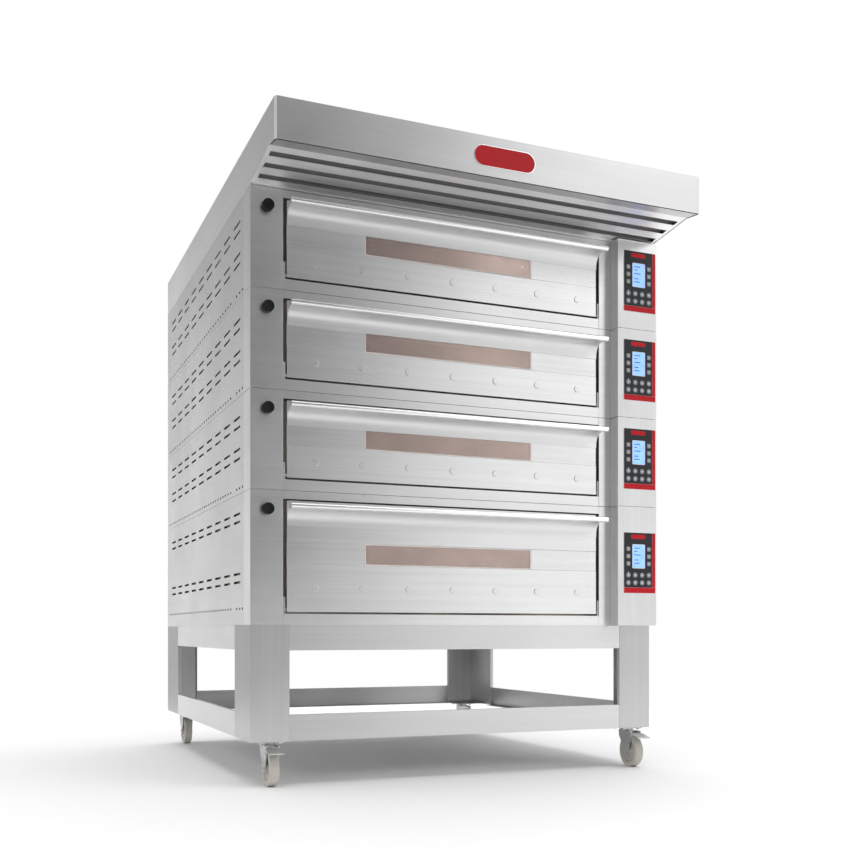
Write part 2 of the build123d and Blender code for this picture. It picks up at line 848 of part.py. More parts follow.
with BuildPart() as collar:
    rod(flue_flange_radius, (0, flue_y, hood_top), sheet, (0, 0, 1))
    rod(flue_radius, (0, flue_y, hood_top), flue_height, (0, 0, 1))
    rod(flue_radius - sheet, (0, flue_y, hood_top), flue_height, (0, 0, 1), mode=Mode.SUBTRACT)
save(collar, "hood_flue_collar")


# ---- Stand ----


def add_leg(side, end, depth):
    """An L-shaped folded leg with a lip on each free edge and a foot flange."""
    corner_x = right if side > 0 else left
    corner_y = back if end > 0 else front
    foot = castor_height

    def span(corner, direction, near, far):
        """Limits between two distances inwards from a corner."""
        return tuple(sorted((corner - direction * near, corner - direction * far)))

    wide = span(corner_x, side, 0, leg_width)
    levels = (foot, stand_top)
    block(wide, span(corner_y, end, 0, thick_sheet), levels)
    block(span(corner_x, side, 0, thick_sheet), span(corner_y, end, 0, depth), levels)
    block(span(corner_x, side, leg_width - thick_sheet, leg_width),
          span(corner_y, end, 0, leg_lip), levels)
    block(span(corner_x, side, 0, leg_lip),
          span(corner_y, end, depth - thick_sheet, depth), levels)
    block(wide, span(corner_y, end, 0, leg_width), (foot, foot + thick_sheet))


with BuildPart() as legs:
    for side in (-1, 1):
        add_leg(side, -1, front_leg_depth)
        add_leg(side, 1, rear_leg_depth)
save(legs, "stand_legs")


def add_rails(low, high, flange_low, return_low):
    """Four folded rails between the legs, each with a wide flange and a narrow return."""
    flange_z = (flange_low, flange_low + thick_sheet)
    return_z = (return_low, return_low + thick_sheet)
    cross_x = inset((left, right), leg_width + seam)
    side_y = (front + front_leg_depth + seam, back - rear_leg_depth - seam)
    for edge, direction in ((front, 1), (back, -1)):
        block(cross_x, tuple(sorted((edge, edge + direction * thick_sheet))), (low, high))
        block(cross_x, tuple(sorted((edge, edge + direction * rail_flange))), flange_z)
        block(cross_x, tuple(sorted((edge, edge + direction * rail_return))), return_z)
    for edge, direction in ((left, 1), (right, -1)):
        block(tuple(sorted((edge, edge + direction * thick_sheet))), side_y, (low, high))
        block(tuple(sorted((edge, edge + direction * rail_flange))), side_y, flange_z)
        block(tuple(sorted((edge, edge + direction * rail_return))), side_y, return_z)


with BuildPart() as top_rails:
    rail_low = stand_top - top_rail_depth
    add_rails(rail_low, stand_top, stand_top - thick_sheet, rail_low)
save(top_rails, "stand_top_rails")

with BuildPart() as bottom_rails:
    rail_high = castor_height + bottom_rail_depth
    add_rails(castor_height, rail_high, castor_height, rail_high - thick_sheet)
save(bottom_rails, "stand_bottom_rails")


# ---- Castors ----


@dataclass(frozen=True)
class Castor:
    """One castor's name, its swivel axis and the side its wheel trails to."""

    name: str
    x: float
    y: float
    braked: bool

    @property
    def wheel_y(self):
        return self.y - castor_trail


castor_x = body_width / 2 - castor_side_inset
castors = [
    Castor("front_left", -castor_x, front + castor_end_inset, True),
    Castor("front_right", castor_x, front + castor_end_inset, True),
    Castor("rear_left", -castor_x, back - castor_end_inset, False),
    Castor("rear_right", castor_x, back - castor_end_inset, False),
]

with BuildPart() as castor_plates:
    for castor in castors:
        half = castor_plate_size / 2
        block((castor.x - half, castor.x + half), (castor.y - half, castor.y + half),
              (plate_bottom, castor_height))
        rod(raceway_radius, (castor.x, castor.y, plate_bottom), raceway_height, (0, 0, -1))
        pin_length = plate_bottom - crown_bottom + body_gap + nut_height
        rod(kingpin_radius, (castor.x, castor.y, plate_bottom), pin_length, (0, 0, -1))
        rod(nut_radius, (castor.x, castor.y, crown_bottom - body_gap), nut_height, (0, 0, -1))
        with BuildSketch(Plane.XY.offset(plate_bottom)):
            with Locations((castor.x, castor.y)):
                with GridLocations(castor_bolt_spacing, castor_bolt_spacing, 2, 2):
                    RegularPolygon(castor_bolt_radius, 6)
        extrude(amount=-castor_bolt_height)
save(castor_plates, "castor_plates")


def make_fork(castor):
    """A crown under the raceway, two cheeks, the wheel's axle and a brake pedal's pin."""
    inner = wheel_width / 2 + cheek_gap
    outer = inner + cheek_thickness
    axle = (castor.wheel_y, wheel_radius)
    cheek_front = castor.wheel_y - pedal_pin_reach - cheek_nose
    cheek_back = castor.y + raceway_radius - crown_overhang
    cheek_low = crown_bottom - cheek_drop
    with BuildPart() as fork:
        crown_y = (castor.wheel_y - crown_setback, castor.y + raceway_radius)
        block((castor.x - outer, castor.x + outer), crown_y, (crown_bottom, crown_top))
        fillet(fork.edges().filter_by(Axis.Z), crown_corner)
        for cheek_x in (castor.x - outer, castor.x + inner):
            with BuildSketch(Plane.YZ.offset(cheek_x)):
                with BuildLine():
                    Polyline(
                        (cheek_back, crown_top),
                        (cheek_front, crown_top),
                        (cheek_front, cheek_low),
                        (axle[0] - axle_boss_radius, axle[1]),
                        (axle[0] + axle_boss_radius, axle[1]),
                        (cheek_back, cheek_low),
                        close=True,
                    )
                make_face()
                with Locations(axle):
                    Circle(axle_boss_radius)
            extrude(amount=cheek_thickness)
        axle_reach = outer + axle_head
        rod(axle_radius, (castor.x - axle_reach, *axle), 2 * axle_reach, (1, 0, 0))
        if castor.braked:
            pin = (castor.wheel_y - pedal_pin_reach, pedal_pin_z)
            rod(pedal_pin_radius, (castor.x - outer, *pin), 2 * outer, (1, 0, 0))
        bore = kingpin_radius + running_clearance
        rod(bore, (castor.x, castor.y, crown_bottom - cut_margin),
            crown_thickness + 2 * cut_margin, (0, 0, 1), mode=Mode.SUBTRACT)
    save(fork, f"castor_{castor.name}_fork")


def make_wheel(castor):
    """A solid tyre on a webbed hub, turned around the axle."""
    half = wheel_width / 2
    bore = axle_radius + running_clearance
    tyre_foot = wheel_radius - tyre_height
    web_edge = tyre_foot - tyre_step
    with BuildPart() as wheel:
        with BuildSketch(Plane.XY) as profile:
            with BuildLine():
                Polyline(
                    (-half - hub_proud, bore),
                    (-half - hub_proud, hub_radius),
                    (-half + web_recess, hub_radius + hub_proud),
                    (-half + web_recess, web_edge),
                    (-half, tyre_foot),
                    (-half, wheel_radius),
                    (half, wheel_radius),
                    (half, tyre_foot),
                    (half - web_recess, web_edge),
                    (half - web_recess, hub_radius + hub_proud),
                    (half + hub_proud, hub_radius),
                    (half + hub_proud, bore),
                    close=True,
                )
            make_face()
            fillet(profile.vertices().group_by(Axis.Y)[-1], tread_rounding)
        revolve(axis=Axis.X)
    wheel.part = Location((castor.x, castor.wheel_y, wheel_radius)) * wheel.part
    save(wheel, f"castor_{castor.name}_wheel")


def make_pedal(castor):
    """A brake pedal: an eye on the fork's pin and a plate that reaches over the tyre."""
    pin_y = castor.wheel_y - pedal_pin_reach
    eye_length = wheel_width + 2 * (cheek_gap - body_gap)
    plate_start = pin_y - pedal_neck
    plate_end = plate_start - pedal_length + pedal_pin_reach
    with BuildPart() as pedal:
        rod(pedal_eye_radius, (castor.x - eye_length / 2, pin_y, pedal_pin_z), eye_length,
            (1, 0, 0))
        block((castor.x - eye_length / 2, castor.x + eye_length / 2),
              (plate_start - cut_margin, pin_y), (pedal_pin_z, pedal_pin_z + pedal_thickness))
        with BuildSketch(Plane.YZ.offset(castor.x - pedal_width / 2)):
            with BuildLine():
                Polyline(
                    (plate_start, pedal_pin_z + pedal_thickness),
                    (plate_start, pedal_pin_z),
                    (plate_end, pedal_pin_z - pedal_slope),
                    (plate_end, pedal_pin_z - pedal_slope + pedal_thickness),
                    close=True,
                )
            make_face()
        extrude(amount=pedal_width)
        fillet(pedal.edges().group_by(Axis.Y)[0].filter_by(Axis.Z), pedal_rounding)
        rod(pedal_pin_radius + running_clearance,
            (castor.x - eye_length / 2 - cut_margin, pin_y, pedal_pin_z),
            eye_length + 2 * cut_margin, (1, 0, 0), mode=Mode.SUBTRACT)
    save(pedal, f"castor_{castor.name}_pedal")


for castor in castors:
    make_fork(castor)
    make_wheel(castor)
    if castor.braked:
        make_pedal(castor)
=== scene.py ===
"""Looks of a four-deck bakery oven: finishes, formed sheet edges, controls, castors and studio."""

import json
import logging
import math
from dataclasses import dataclass, field
from enum import Enum
from typing import Iterable, Optional

import bmesh
import bpy
from mathutils import Matrix, Vector


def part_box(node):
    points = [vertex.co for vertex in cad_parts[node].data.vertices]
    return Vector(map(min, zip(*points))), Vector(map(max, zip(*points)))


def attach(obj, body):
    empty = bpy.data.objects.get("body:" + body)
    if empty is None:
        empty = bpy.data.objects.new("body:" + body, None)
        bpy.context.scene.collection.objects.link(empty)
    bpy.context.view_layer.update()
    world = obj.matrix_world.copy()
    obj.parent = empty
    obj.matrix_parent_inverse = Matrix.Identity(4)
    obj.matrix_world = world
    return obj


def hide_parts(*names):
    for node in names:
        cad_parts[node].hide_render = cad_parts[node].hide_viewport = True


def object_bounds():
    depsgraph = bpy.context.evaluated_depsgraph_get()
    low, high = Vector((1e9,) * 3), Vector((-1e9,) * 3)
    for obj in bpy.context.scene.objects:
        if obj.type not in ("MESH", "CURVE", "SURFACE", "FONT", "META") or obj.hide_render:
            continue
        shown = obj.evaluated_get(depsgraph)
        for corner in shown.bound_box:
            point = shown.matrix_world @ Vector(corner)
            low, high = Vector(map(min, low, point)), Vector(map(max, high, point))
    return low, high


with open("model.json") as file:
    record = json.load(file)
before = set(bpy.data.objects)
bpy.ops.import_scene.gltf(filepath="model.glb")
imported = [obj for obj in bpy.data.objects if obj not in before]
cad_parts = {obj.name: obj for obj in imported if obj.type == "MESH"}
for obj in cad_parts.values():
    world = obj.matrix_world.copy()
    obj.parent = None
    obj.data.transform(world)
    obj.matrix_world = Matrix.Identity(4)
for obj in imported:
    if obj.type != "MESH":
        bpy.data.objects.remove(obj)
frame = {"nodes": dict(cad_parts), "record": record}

BMesh = bmesh.types.BMesh
BMVert = bmesh.types.BMVert
BMEdge = bmesh.types.BMEdge
Material = bpy.types.Material
Object = bpy.types.Object
Socket = bpy.types.NodeSocket
Pair = tuple[float, float]
Triple = tuple[float, float, float]

MM = 0.001
CAD_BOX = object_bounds()
LOG = logging.getLogger("deck_oven")
NODES: dict[str, Object] = frame["nodes"]
BODY_OF: dict[str, str] = {
    node: body for body, nodes in frame["record"]["behaviour"]["bodies"].items() for node in nodes
}
DECKS: tuple[str, ...] = ("deck_1", "deck_2", "deck_3", "deck_4")
CASTORS: tuple[str, ...] = ("front_left", "front_right", "rear_left", "rear_right")
FORWARD = Vector((0, -1, 0))

# Angles between two faces in degrees: rounded above the first, shaded smooth below the second,
# joined into one flat face below the third.
SHARP_ANGLE = 40.0
SMOOTH_ANGLE = 35.0
FLAT_ANGLE = 0.5
# Vertices nearer than the first are one. An edge nearer to a plane than the second lies in it.
MERGE_DISTANCE = 0.01 * MM
PLANE_DISTANCE = 1e-6
# A unit vector lies along an axis from this share of it on.
ALIGNED = 0.99


class Grain(Enum):
    """Direction in which a sheet was brushed."""

    ACROSS = "x"
    DEPTH = "y"
    UPRIGHT = "z"

    def scale(self, along: float, across: float) -> Triple:
        """Factors on X, Y and Z for so many streaks a metre along and across the grain."""
        return tuple(along if axis == self.value else across for axis in "xyz")

    @property
    def spread(self) -> Triple:
        """Direction across the grain. Its small parts keep it off the normal of every face."""
        return (1.0, 1.0, 0.02) if self is Grain.UPRIGHT else (0.02, 0.013, 1.0)


# ---- Finishes ----


class Graph:
    """A short way to add and link shader nodes in one material or world."""

    def __init__(self, owner: bpy.types.ID, output: str = "OutputMaterial") -> None:
        """Start a node tree that holds only its output.

        Args:
            owner: The material or world.
            output: The output node's type, without the ShaderNode prefix.
        """
        self.owner = owner
        owner.use_nodes = True
        self.tree = owner.node_tree
        self.tree.nodes.clear()
        self.output = self.node(output)

    @classmethod
    def material(cls, name: str) -> "Graph":
        """Start a new material of that name."""
        return cls(bpy.data.materials.new(name))

    def node(self, kind: str, settings: Optional[dict] = None, **links: object) -> bpy.types.Node:
        """Add a node, set its properties and link or fill its inputs.

        Args:
            kind: The node's type, without the ShaderNode prefix.
            settings: Properties of the node itself.
            links: Input name, with spaces as underscores, to a socket or a value.

        Returns:
            The new node.
        """
        made = self.tree.nodes.new("ShaderNode" + kind)
        for key, value in (settings or {}).items():
            setattr(made, key, value)
        for key, value in links.items():
            self.put(made, key.replace("_", " "), value)
        return made

    def put(self, node: bpy.types.Node, name: str, value: object) -> None:
        """Link a socket to an input, or set the input's own value.

        Args:
            node: The node that has the input.
            name: The input's name, or its number as text.
            value: A socket, a number or a colour.
        """
        target = node.inputs[int(name)] if name.isdigit() else node.inputs[name]
        if isinstance(value, Socket):
            self.tree.links.new(value, target)
        else:
            target.default_value = value

    def place(self, scale: Triple) -> Socket:
        """Object coordinates, scaled along X, Y and Z."""
        where = self.node("TexCoord").outputs["Object"]
        return self.node("Mapping", Vector=where, Scale=scale).outputs["Vector"]

    def noise(self, scale: Triple, detail: float = 3.0, roughness: float = 0.6) -> Socket:
        """A noise pattern on scaled Object coordinates.

        Args:
            scale: Factors along X, Y and Z.
            detail: Octaves of the noise.
            roughness: Weight of its fine octaves.

        Returns:
            The pattern's value socket.
        """
        made = self.node("TexNoise", Vector=self.place(scale), Scale=1.0, Detail=detail,
                         Roughness=roughness)
        return made.outputs["Fac"]

    def span(self, value: Socket, low: float, high: float, source: Pair = (0.3, 0.7),
             ease: str = "LINEAR") -> Socket:
        """Map a pattern's usual spread to new limits.

        Args:
            value: The pattern.
            low: Result at the low end.
            high: Result at the high end.
            source: The pattern's limits that map to low and high.
            ease: Shape of the passage from low to high.

        Returns:
            The mapped value socket.
        """
        made = self.node("MapRange", {"interpolation_type": ease}, Value=value,
                         From_Min=source[0], From_Max=source[1], To_Min=low, To_Max=high)
        return made.outputs["Result"]

    def math(self, operation: str, *values: object) -> Socket:
        """A sum, product or other operation on sockets and numbers."""
        inputs = {str(number): value for number, value in enumerate(values)}
        return self.node("Math", {"operation": operation}, **inputs).outputs[0]

    def tint(self, value: Socket, low: Triple, high: Triple) -> Socket:
        """Blend two colours by a pattern.

        Args:
            value: The pattern, from 0 to 1.
            low: Colour at 0.
            high: Colour at 1.

        Returns:
            The colour socket.
        """
        made = self.node("Mix", {"data_type": "RGBA"}, Factor=value)
        made.inputs[6].default_value = (*low, 1.0)
        made.inputs[7].default_value = (*high, 1.0)
        return made.outputs[2]

    def bump(self, height: Socket, distance: float, strength: float = 1.0) -> Socket:
        """Relief of a depth in metres from a height pattern, of which a share shows."""
        made = self.node("Bump", Height=height, Distance=distance, Strength=strength)
        return made.outputs["Normal"]

    def finish(self, shader: bpy.types.Node) -> bpy.types.ID:
        """Link the shader to the output and return the material or world."""
        self.tree.links.new(shader.outputs[0], self.output.inputs["Surface"])
        return self.owner


def shaded(colour: Triple, factor: float) -> Triple:
    """A colour made lighter or darker by a factor."""
    return tuple(min(1.0, channel * factor) for channel in colour)


@dataclass(frozen=True)
class BrushedSteel:
    """Brushed stainless sheet: fine and broad streaks, faint smears and worn, brighter edges."""

    name: str
    colour: Triple = (0.75, 0.75, 0.755)
    grain: Grain = Grain.ACROSS
    roughness: float = 0.27
    streaks: float = 0.05
    brushing: float = 0.7
    relief: float = 0.000012
    fine: Pair = (1.5, 520.0)
    broad: Pair = (0.6, 46.0)
    smears: Triple = (2.4, 2.4, 3.1)
    worn: float = 1.15

    def build(self) -> Material:
        """Make the material.

        Returns:
            The finished material.
        """
        graph = Graph.material(self.name)
        fine = graph.noise(self.grain.scale(*self.fine), 4.0, 0.7)
        broad = graph.noise(self.grain.scale(*self.broad), 3.0)
        smear = graph.noise(self.smears, 4.0, 0.65)
        streak = graph.math("MULTIPLY_ADD", broad, 0.4, graph.math("MULTIPLY", fine, 0.6))
        base = graph.tint(graph.span(streak, 0.0, 1.0, (0.38, 0.62)),
                          shaded(self.colour, 1 - self.streaks),
                          shaded(self.colour, 1 + self.streaks))
        edge = graph.span(graph.node("NewGeometry").outputs["Pointiness"], 0.0, 0.4, (0.53, 0.62))
        colour = graph.node("Mix", {"data_type": "RGBA"}, Factor=edge)
        graph.tree.links.new(base, colour.inputs[6])
        colour.inputs[7].default_value = (*shaded(self.colour, self.worn), 1.0)
        dull = graph.span(smear, self.roughness - 0.03, self.roughness + 0.04)
        rough = graph.math("MULTIPLY_ADD", fine, 0.06, dull)
        spread = graph.node("CombineXYZ", None, X=self.grain.spread[0], Y=self.grain.spread[1],
                            Z=self.grain.spread[2])
        shader = graph.node("BsdfPrincipled", Base_Color=colour.outputs[2], Metallic=1.0,
                            Roughness=rough, Anisotropic=self.brushing,
                            Tangent=spread.outputs[0], Normal=graph.bump(fine, self.relief, 0.5))
        return graph.finish(shader)


@dataclass(frozen=True)
class CoarseMetal:
    """Cast, plated or heat-stained metal with a mottled surface."""

    name: str
    colour: Triple
    stain: Triple
    roughness: float = 0.4
    mottle: float = 24.0
    metallic: float = 1.0
    relief: float = 0.00008

    def build(self) -> Material:
        """Make the material.

        Returns:
            The finished material.
        """
        graph = Graph.material(self.name)
        patch = graph.noise((self.mottle,) * 3, 5.0, 0.62)
        grit = graph.noise((900.0,) * 3, 2.0)
        base = graph.tint(graph.span(patch, 0.0, 1.0, (0.35, 0.68)), self.colour, self.stain)
        shader = graph.node("BsdfPrincipled", Base_Color=base, Metallic=self.metallic,
                            Roughness=graph.span(patch, self.roughness, self.roughness + 0.16),
                            Normal=graph.bump(grit, self.relief, 0.5))
        return graph.finish(shader)


@dataclass(frozen=True)
class Moulded:
    """Moulded plastic, rubber or printed film with a fine surface texture."""

    name: str
    colour: Triple
    roughness: float = 0.45
    texture: float = 1400.0
    variation: float = 0.08
    relief: float = 0.00004
    gloss: float = 0.5

    def build(self) -> Material:
        """Make the material.

        Returns:
            The finished material.
        """
        graph = Graph.material(self.name)
        grit = graph.noise((self.texture,) * 3, 2.0)
        dust = graph.noise((14.0,) * 3, 5.0, 0.6)
        base = graph.tint(graph.span(dust, 0.0, 1.0), shaded(self.colour, 1 - self.variation),
                          shaded(self.colour, 1 + self.variation))
        shader = graph.node("BsdfPrincipled", Base_Color=base,
                            Roughness=graph.span(dust, self.roughness - 0.05,
                                                 self.roughness + 0.1),
                            Specular_IOR_Level=self.gloss,
                            Normal=graph.bump(grit, self.relief, 0.5))
        return graph.finish(shader)


@dataclass(frozen=True)
class Fibrous:
    """Mineral wool, braid or cast refractory: a rough, uneven, matt surface."""

    name: str
    colour: Triple
    fleck: Triple
    scale: float = 160.0
    relief: float = 0.0006

    def build(self) -> Material:
        """Make the material.

        Returns:
            The finished material.
        """
        graph = Graph.material(self.name)
        fibre = graph.noise((self.scale, self.scale * 0.4, self.scale), 6.0, 0.7)
        cloud = graph.noise((7.0,) * 3, 3.0)
        mixed = graph.math("MULTIPLY", fibre, cloud)
        base = graph.tint(graph.span(mixed, 0.0, 1.0, (0.16, 0.36)), self.colour, self.fleck)
        shader = graph.node("BsdfPrincipled", Base_Color=base, Roughness=0.92,
                            Normal=graph.bump(fibre, self.relief, 0.8))
        return graph.finish(shader)


@dataclass(frozen=True)
class TintedGlass:
    """Heat-reflecting oven glass: a see-through pane with a warm metallic tint."""

    name: str
    colour: Triple = (0.62, 0.49, 0.44)
    sight: float = 0.6
    metallic: float = 0.65

    def build(self) -> Material:
        """Make the material.

        Returns:
            The finished material.
        """
        graph = Graph.material(self.name)
        haze = graph.noise((5.0, 5.0, 9.0), 4.0)
        wipe = graph.noise((60.0, 60.0, 3.0), 2.0)
        base = graph.tint(graph.span(haze, 0.0, 1.0), shaded(self.colour, 0.86),
                          shaded(self.colour, 1.12))
        shader = graph.node("BsdfPrincipled", Base_Color=base, Metallic=self.metallic,
                            Roughness=graph.span(wipe, 0.1, 0.17), Alpha=self.sight,
                            Normal=graph.bump(haze, 0.0002, 0.3))
        return graph.finish(shader)


@dataclass(frozen=True)
class Glow:
    """A surface that shines by itself through a faintly uneven diffuser."""

    name: str
    colour: Triple
    strength: float
    roughness: float = 0.25
    unevenness: float = 0.1

    def build(self) -> Material:
        """Make the material.

        Returns:
            The finished material.
        """
        graph = Graph.material(self.name)
        cloud = graph.noise((40.0,) * 3, 3.0)
        light = graph.tint(graph.span(cloud, 0.0, 1.0), shaded(self.colour, 1 - self.unevenness),
                           shaded(self.colour, 1 + self.unevenness))
        shader = graph.node("BsdfPrincipled", Base_Color=light,
                            Roughness=graph.span(cloud, self.roughness, self.roughness + 0.1),
                            Emission_Color=light, Emission_Strength=self.strength)
        return graph.finish(shader)


class Finishes:
    """Every finish of the oven, built once and handed out by name."""

    def __init__(self) -> None:
        """Build all the materials."""
        kinds = (
            BrushedSteel("front_steel"),
            BrushedSteel("door_steel", streaks=0.07),
            BrushedSteel("fascia_steel", colour=(0.6, 0.6, 0.605), roughness=0.32, streaks=0.04),
            BrushedSteel("baffle_steel", colour=(0.95, 0.95, 0.95), roughness=0.44, brushing=0.3),
            # Darkened far below the sheet's own tone: painted shade for the grooves behind the
            # baffle's slots.
            BrushedSteel("channel_painted_shade_steel", colour=(0.28, 0.28, 0.28), roughness=0.5, brushing=0.2),
            # A darker copy of the handle's bright steel for the lip: painted shade on its
            # underside.
            BrushedSteel("lip_painted_shade_steel", colour=(0.76, 0.76, 0.765), roughness=0.34),
            BrushedSteel("side_steel", colour=(0.72, 0.72, 0.725), grain=Grain.DEPTH,
                         roughness=0.34),
            BrushedSteel("hood_side_steel", colour=(0.95, 0.95, 0.95), grain=Grain.DEPTH,
                         roughness=0.34),
            BrushedSteel("upright_steel", colour=(0.6, 0.6, 0.605), grain=Grain.UPRIGHT,
                         roughness=0.3),
            BrushedSteel("stand_steel", colour=(0.66, 0.66, 0.665), roughness=0.3),
            BrushedSteel("control_steel", colour=(0.8, 0.8, 0.805), grain=Grain.UPRIGHT),
            BrushedSteel("handle_steel", colour=(0.95, 0.95, 0.95), roughness=0.16, streaks=0.03),
            CoarseMetal("mill_steel", (0.42, 0.42, 0.43), (0.55, 0.55, 0.56)),
            CoarseMetal("heat_stained_steel", (0.62, 0.55, 0.46), (0.40, 0.32, 0.26), mottle=5.0),
            CoarseMetal("element_sheath", (0.16, 0.13, 0.12), (0.3, 0.25, 0.22), mottle=40.0),
            CoarseMetal("zinc_plate", (0.66, 0.66, 0.65), (0.5, 0.51, 0.52), 0.3, 30.0),
            CoarseMetal("cast_aluminium", (0.72, 0.72, 0.73), (0.6, 0.6, 0.61), 0.42, 18.0),
            CoarseMetal("motor_paint", (0.03, 0.03, 0.032), (0.05, 0.05, 0.05), 0.5, 12.0, 0.0),
            Moulded("knob_plastic", (0.006, 0.006, 0.0065), 0.5, gloss=0.3),
            Moulded("key_plastic", (0.30, 0.31, 0.33), 0.4),
            Moulded("overlay_black", (0.022, 0.023, 0.027), 0.45, gloss=0.35),
            Moulded("overlay_red", (0.58, 0.004, 0.014), 0.45, gloss=0.3),
            Moulded("overlay_white", (0.82, 0.82, 0.82), 0.4),
            Moulded("badge_red", (0.5, 0.003, 0.01), 0.35, gloss=0.3),
            Moulded("pane_edge", (0.92, 0.84, 0.8), 0.5),
            Moulded("castor_tyre", (0.58, 0.56, 0.50), 0.55, 700.0, 0.1, 0.0001),
            Moulded("castor_hub", (0.5, 0.48, 0.44), 0.45, 700.0),
            Fibrous("hearth_stone", (0.48, 0.43, 0.35), (0.62, 0.57, 0.48)),
            Fibrous("mineral_wool", (0.36, 0.31, 0.18), (0.5, 0.45, 0.3), 300.0, 0.002),
            Fibrous("braided_gasket", (0.03, 0.03, 0.03), (0.1, 0.1, 0.1), 600.0),
            TintedGlass("oven_glass"),
            Glow("lamp_glass", (1.0, 0.72, 0.42), 14.0),
            Glow("display_glow", (0.22, 0.42, 0.95), 0.9),
            Moulded("display_ink", (0.05, 0.09, 0.25), 0.4),
        )
        self._made = {kind.name: kind.build() for kind in kinds}

    def __getitem__(self, name: str) -> Material:
        """The finish of that name."""
        return self._made[name]


# ---- Making pieces ----


def piece_from(shape: BMesh, name: str, materials: Iterable[Material], body: str,
               stands_for: tuple[str, ...] = ()) -> Object:
    """Turn a mesh into a finished piece at the origin that rides on a body.

    Args:
        shape: The piece's mesh, which is freed.
        name: The piece's name.
        materials: Its finishes, in the order of its material numbers.
        body: The CAD body that it moves with.
        stands_for: CAD nodes that it replaces.

    Returns:
        The new object.
    """
    mesh = bpy.data.meshes.new(name)
    bmesh.ops.recalc_face_normals(shape, faces=shape.faces[:])
    shape.to_mesh(mesh)
    shape.free()
    for material in materials:
        mesh.materials.append(material)
    mesh.polygons.foreach_set("use_smooth", [True] * len(mesh.polygons))
    mesh.set_sharp_from_angle(angle=math.radians(SMOOTH_ANGLE))
    made = bpy.data.objects.new(name, mesh)
    bpy.context.scene.collection.objects.link(made)
    weighted = made.modifiers.new("flat_faces", "WEIGHTED_NORMAL")
    weighted.keep_sharp = True
    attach(made, body)
    if stands_for:
        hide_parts(*stands_for)
    LOG.info("piece %s: %d faces on %s", name, len(mesh.polygons), body)
    return made


def stand_in(shape: BMesh, suffix: str, materials: Iterable[Material], node: str) -> Object:
    """Make the piece that stands for one CAD node, with its body and a longer name."""
    return piece_from(shape, f"{node}_{suffix}", materials, BODY_OF[node], (node,))


def sharp_edges(shape: BMesh, shortest: float = 0.0) -> list[BMEdge]:
    """Edges between two faces that meet at more than the sharp angle.

    Args:
        shape: The mesh.
        shortest: Edges up to this length are left out.

    Returns:
        The edges.
    """
    limit = math.radians(SHARP_ANGLE)
    return [edge for edge in shape.edges
            if len(edge.link_faces) == 2 and edge.calc_face_angle(0.0) > limit
            and edge.calc_length() > shortest]


def soften(shape: BMesh, width: float, segments: int = 2,
           edges: Optional[list[BMEdge]] = None) -> list[BMVert]:
    """Round the sharp edges of a shape.

    Args:
        shape: The mesh.
        width: Width of the rounding in metres.
        segments: Facets across it.
        edges: The edges, or None for every sharp one.

    Returns:
        The rounding's vertices.
    """
    chosen = sharp_edges(shape) if edges is None else edges
    return bmesh.ops.bevel(shape, geom=chosen, offset=width, offset_type="OFFSET",
                           segments=segments, profile=0.5, affect="EDGES", clamp_overlap=True,
                           material=-1)["verts"]


def edges_at(edges: Iterable[BMEdge], y: float) -> list[BMEdge]:
    """Those of some edges that lie in the plane at a depth, each once."""
    return list({edge for edge in edges
                 if all(abs(vert.co.y - y) < PLANE_DISTANCE for vert in edge.verts)})


def paint(verts: Iterable[BMVert], material: int) -> None:
    """Give the faces around some vertices the finish of a number."""
    for face in {face for vert in verts for face in vert.link_faces}:
        face.material_index = material


def shift(shape: BMesh, made: Iterable[object], offset: Triple) -> None:
    """Move the vertices among an operator's results by an offset."""
    verts = [item for item in made if isinstance(item, BMVert)]
    bmesh.ops.translate(shape, verts=verts, vec=offset)


def add_block(shape: BMesh, low: Vector, high: Vector, material: int = 0) -> list[BMVert]:
    """Add a box between two corners.

    Args:
        shape: The mesh.
        low: Lowest corner.
        high: Highest corner.
        material: Number of its finish.

    Returns:
        The box's vertices.
    """
    size = high - low
    place = Matrix.Translation((low + high) / 2) @ Matrix.Diagonal((*size, 1.0))
    made = bmesh.ops.create_cube(shape, size=1.0, matrix=place)["verts"]
    paint(made, material)
    return made


def add_disc(shape: BMesh, centre: Vector, radius: float, depth: float, material: int,
             segments: int) -> list[BMVert]:
    """Add a disc that faces -Y around a centre.

    Args:
        shape: The mesh.
        centre: Its middle.
        radius: Its radius.
        depth: Its thickness.
        material: Number of its finish.
        segments: Sides of the round.

    Returns:
        The disc's vertices.
    """
    turn = Vector((0, 0, 1)).rotation_difference(FORWARD).to_matrix().to_4x4()
    made = bmesh.ops.create_cone(
        shape, cap_ends=True, cap_tris=False, segments=segments, radius1=radius, radius2=radius,
        depth=depth, matrix=Matrix.Translation(centre) @ turn)["verts"]
    paint(made, material)
    return made


def add_pill(shape: BMesh, low: Vector, high: Vector, corner: float,
             material: int = 0, dome: float = 0.0, segments: int = 6) -> None:
    """Add a plate that faces -Y, with rounded corners and an optional softened rim.

    Args:
        shape: The mesh.
        low: Lowest corner.
        high: Highest corner.
        corner: Radius of its corners.
        material: Number of its finish.
        dome: Rounding of its front rim.
        segments: Facets of each corner.
    """
    verts = add_block(shape, low, high, material)
    edges = {edge for vert in verts for edge in vert.link_edges}
    upright = [edge for edge in edges
               if abs((edge.verts[0].co - edge.verts[1].co).normalized().y) > ALIGNED]
    made = soften(shape, corner, segments, upright)
    if dome > 0:
        faces = {face for vert in made for face in vert.link_faces}
        soften(shape, dome, 3, edges_at((edge for face in faces for edge in face.edges), low.y))


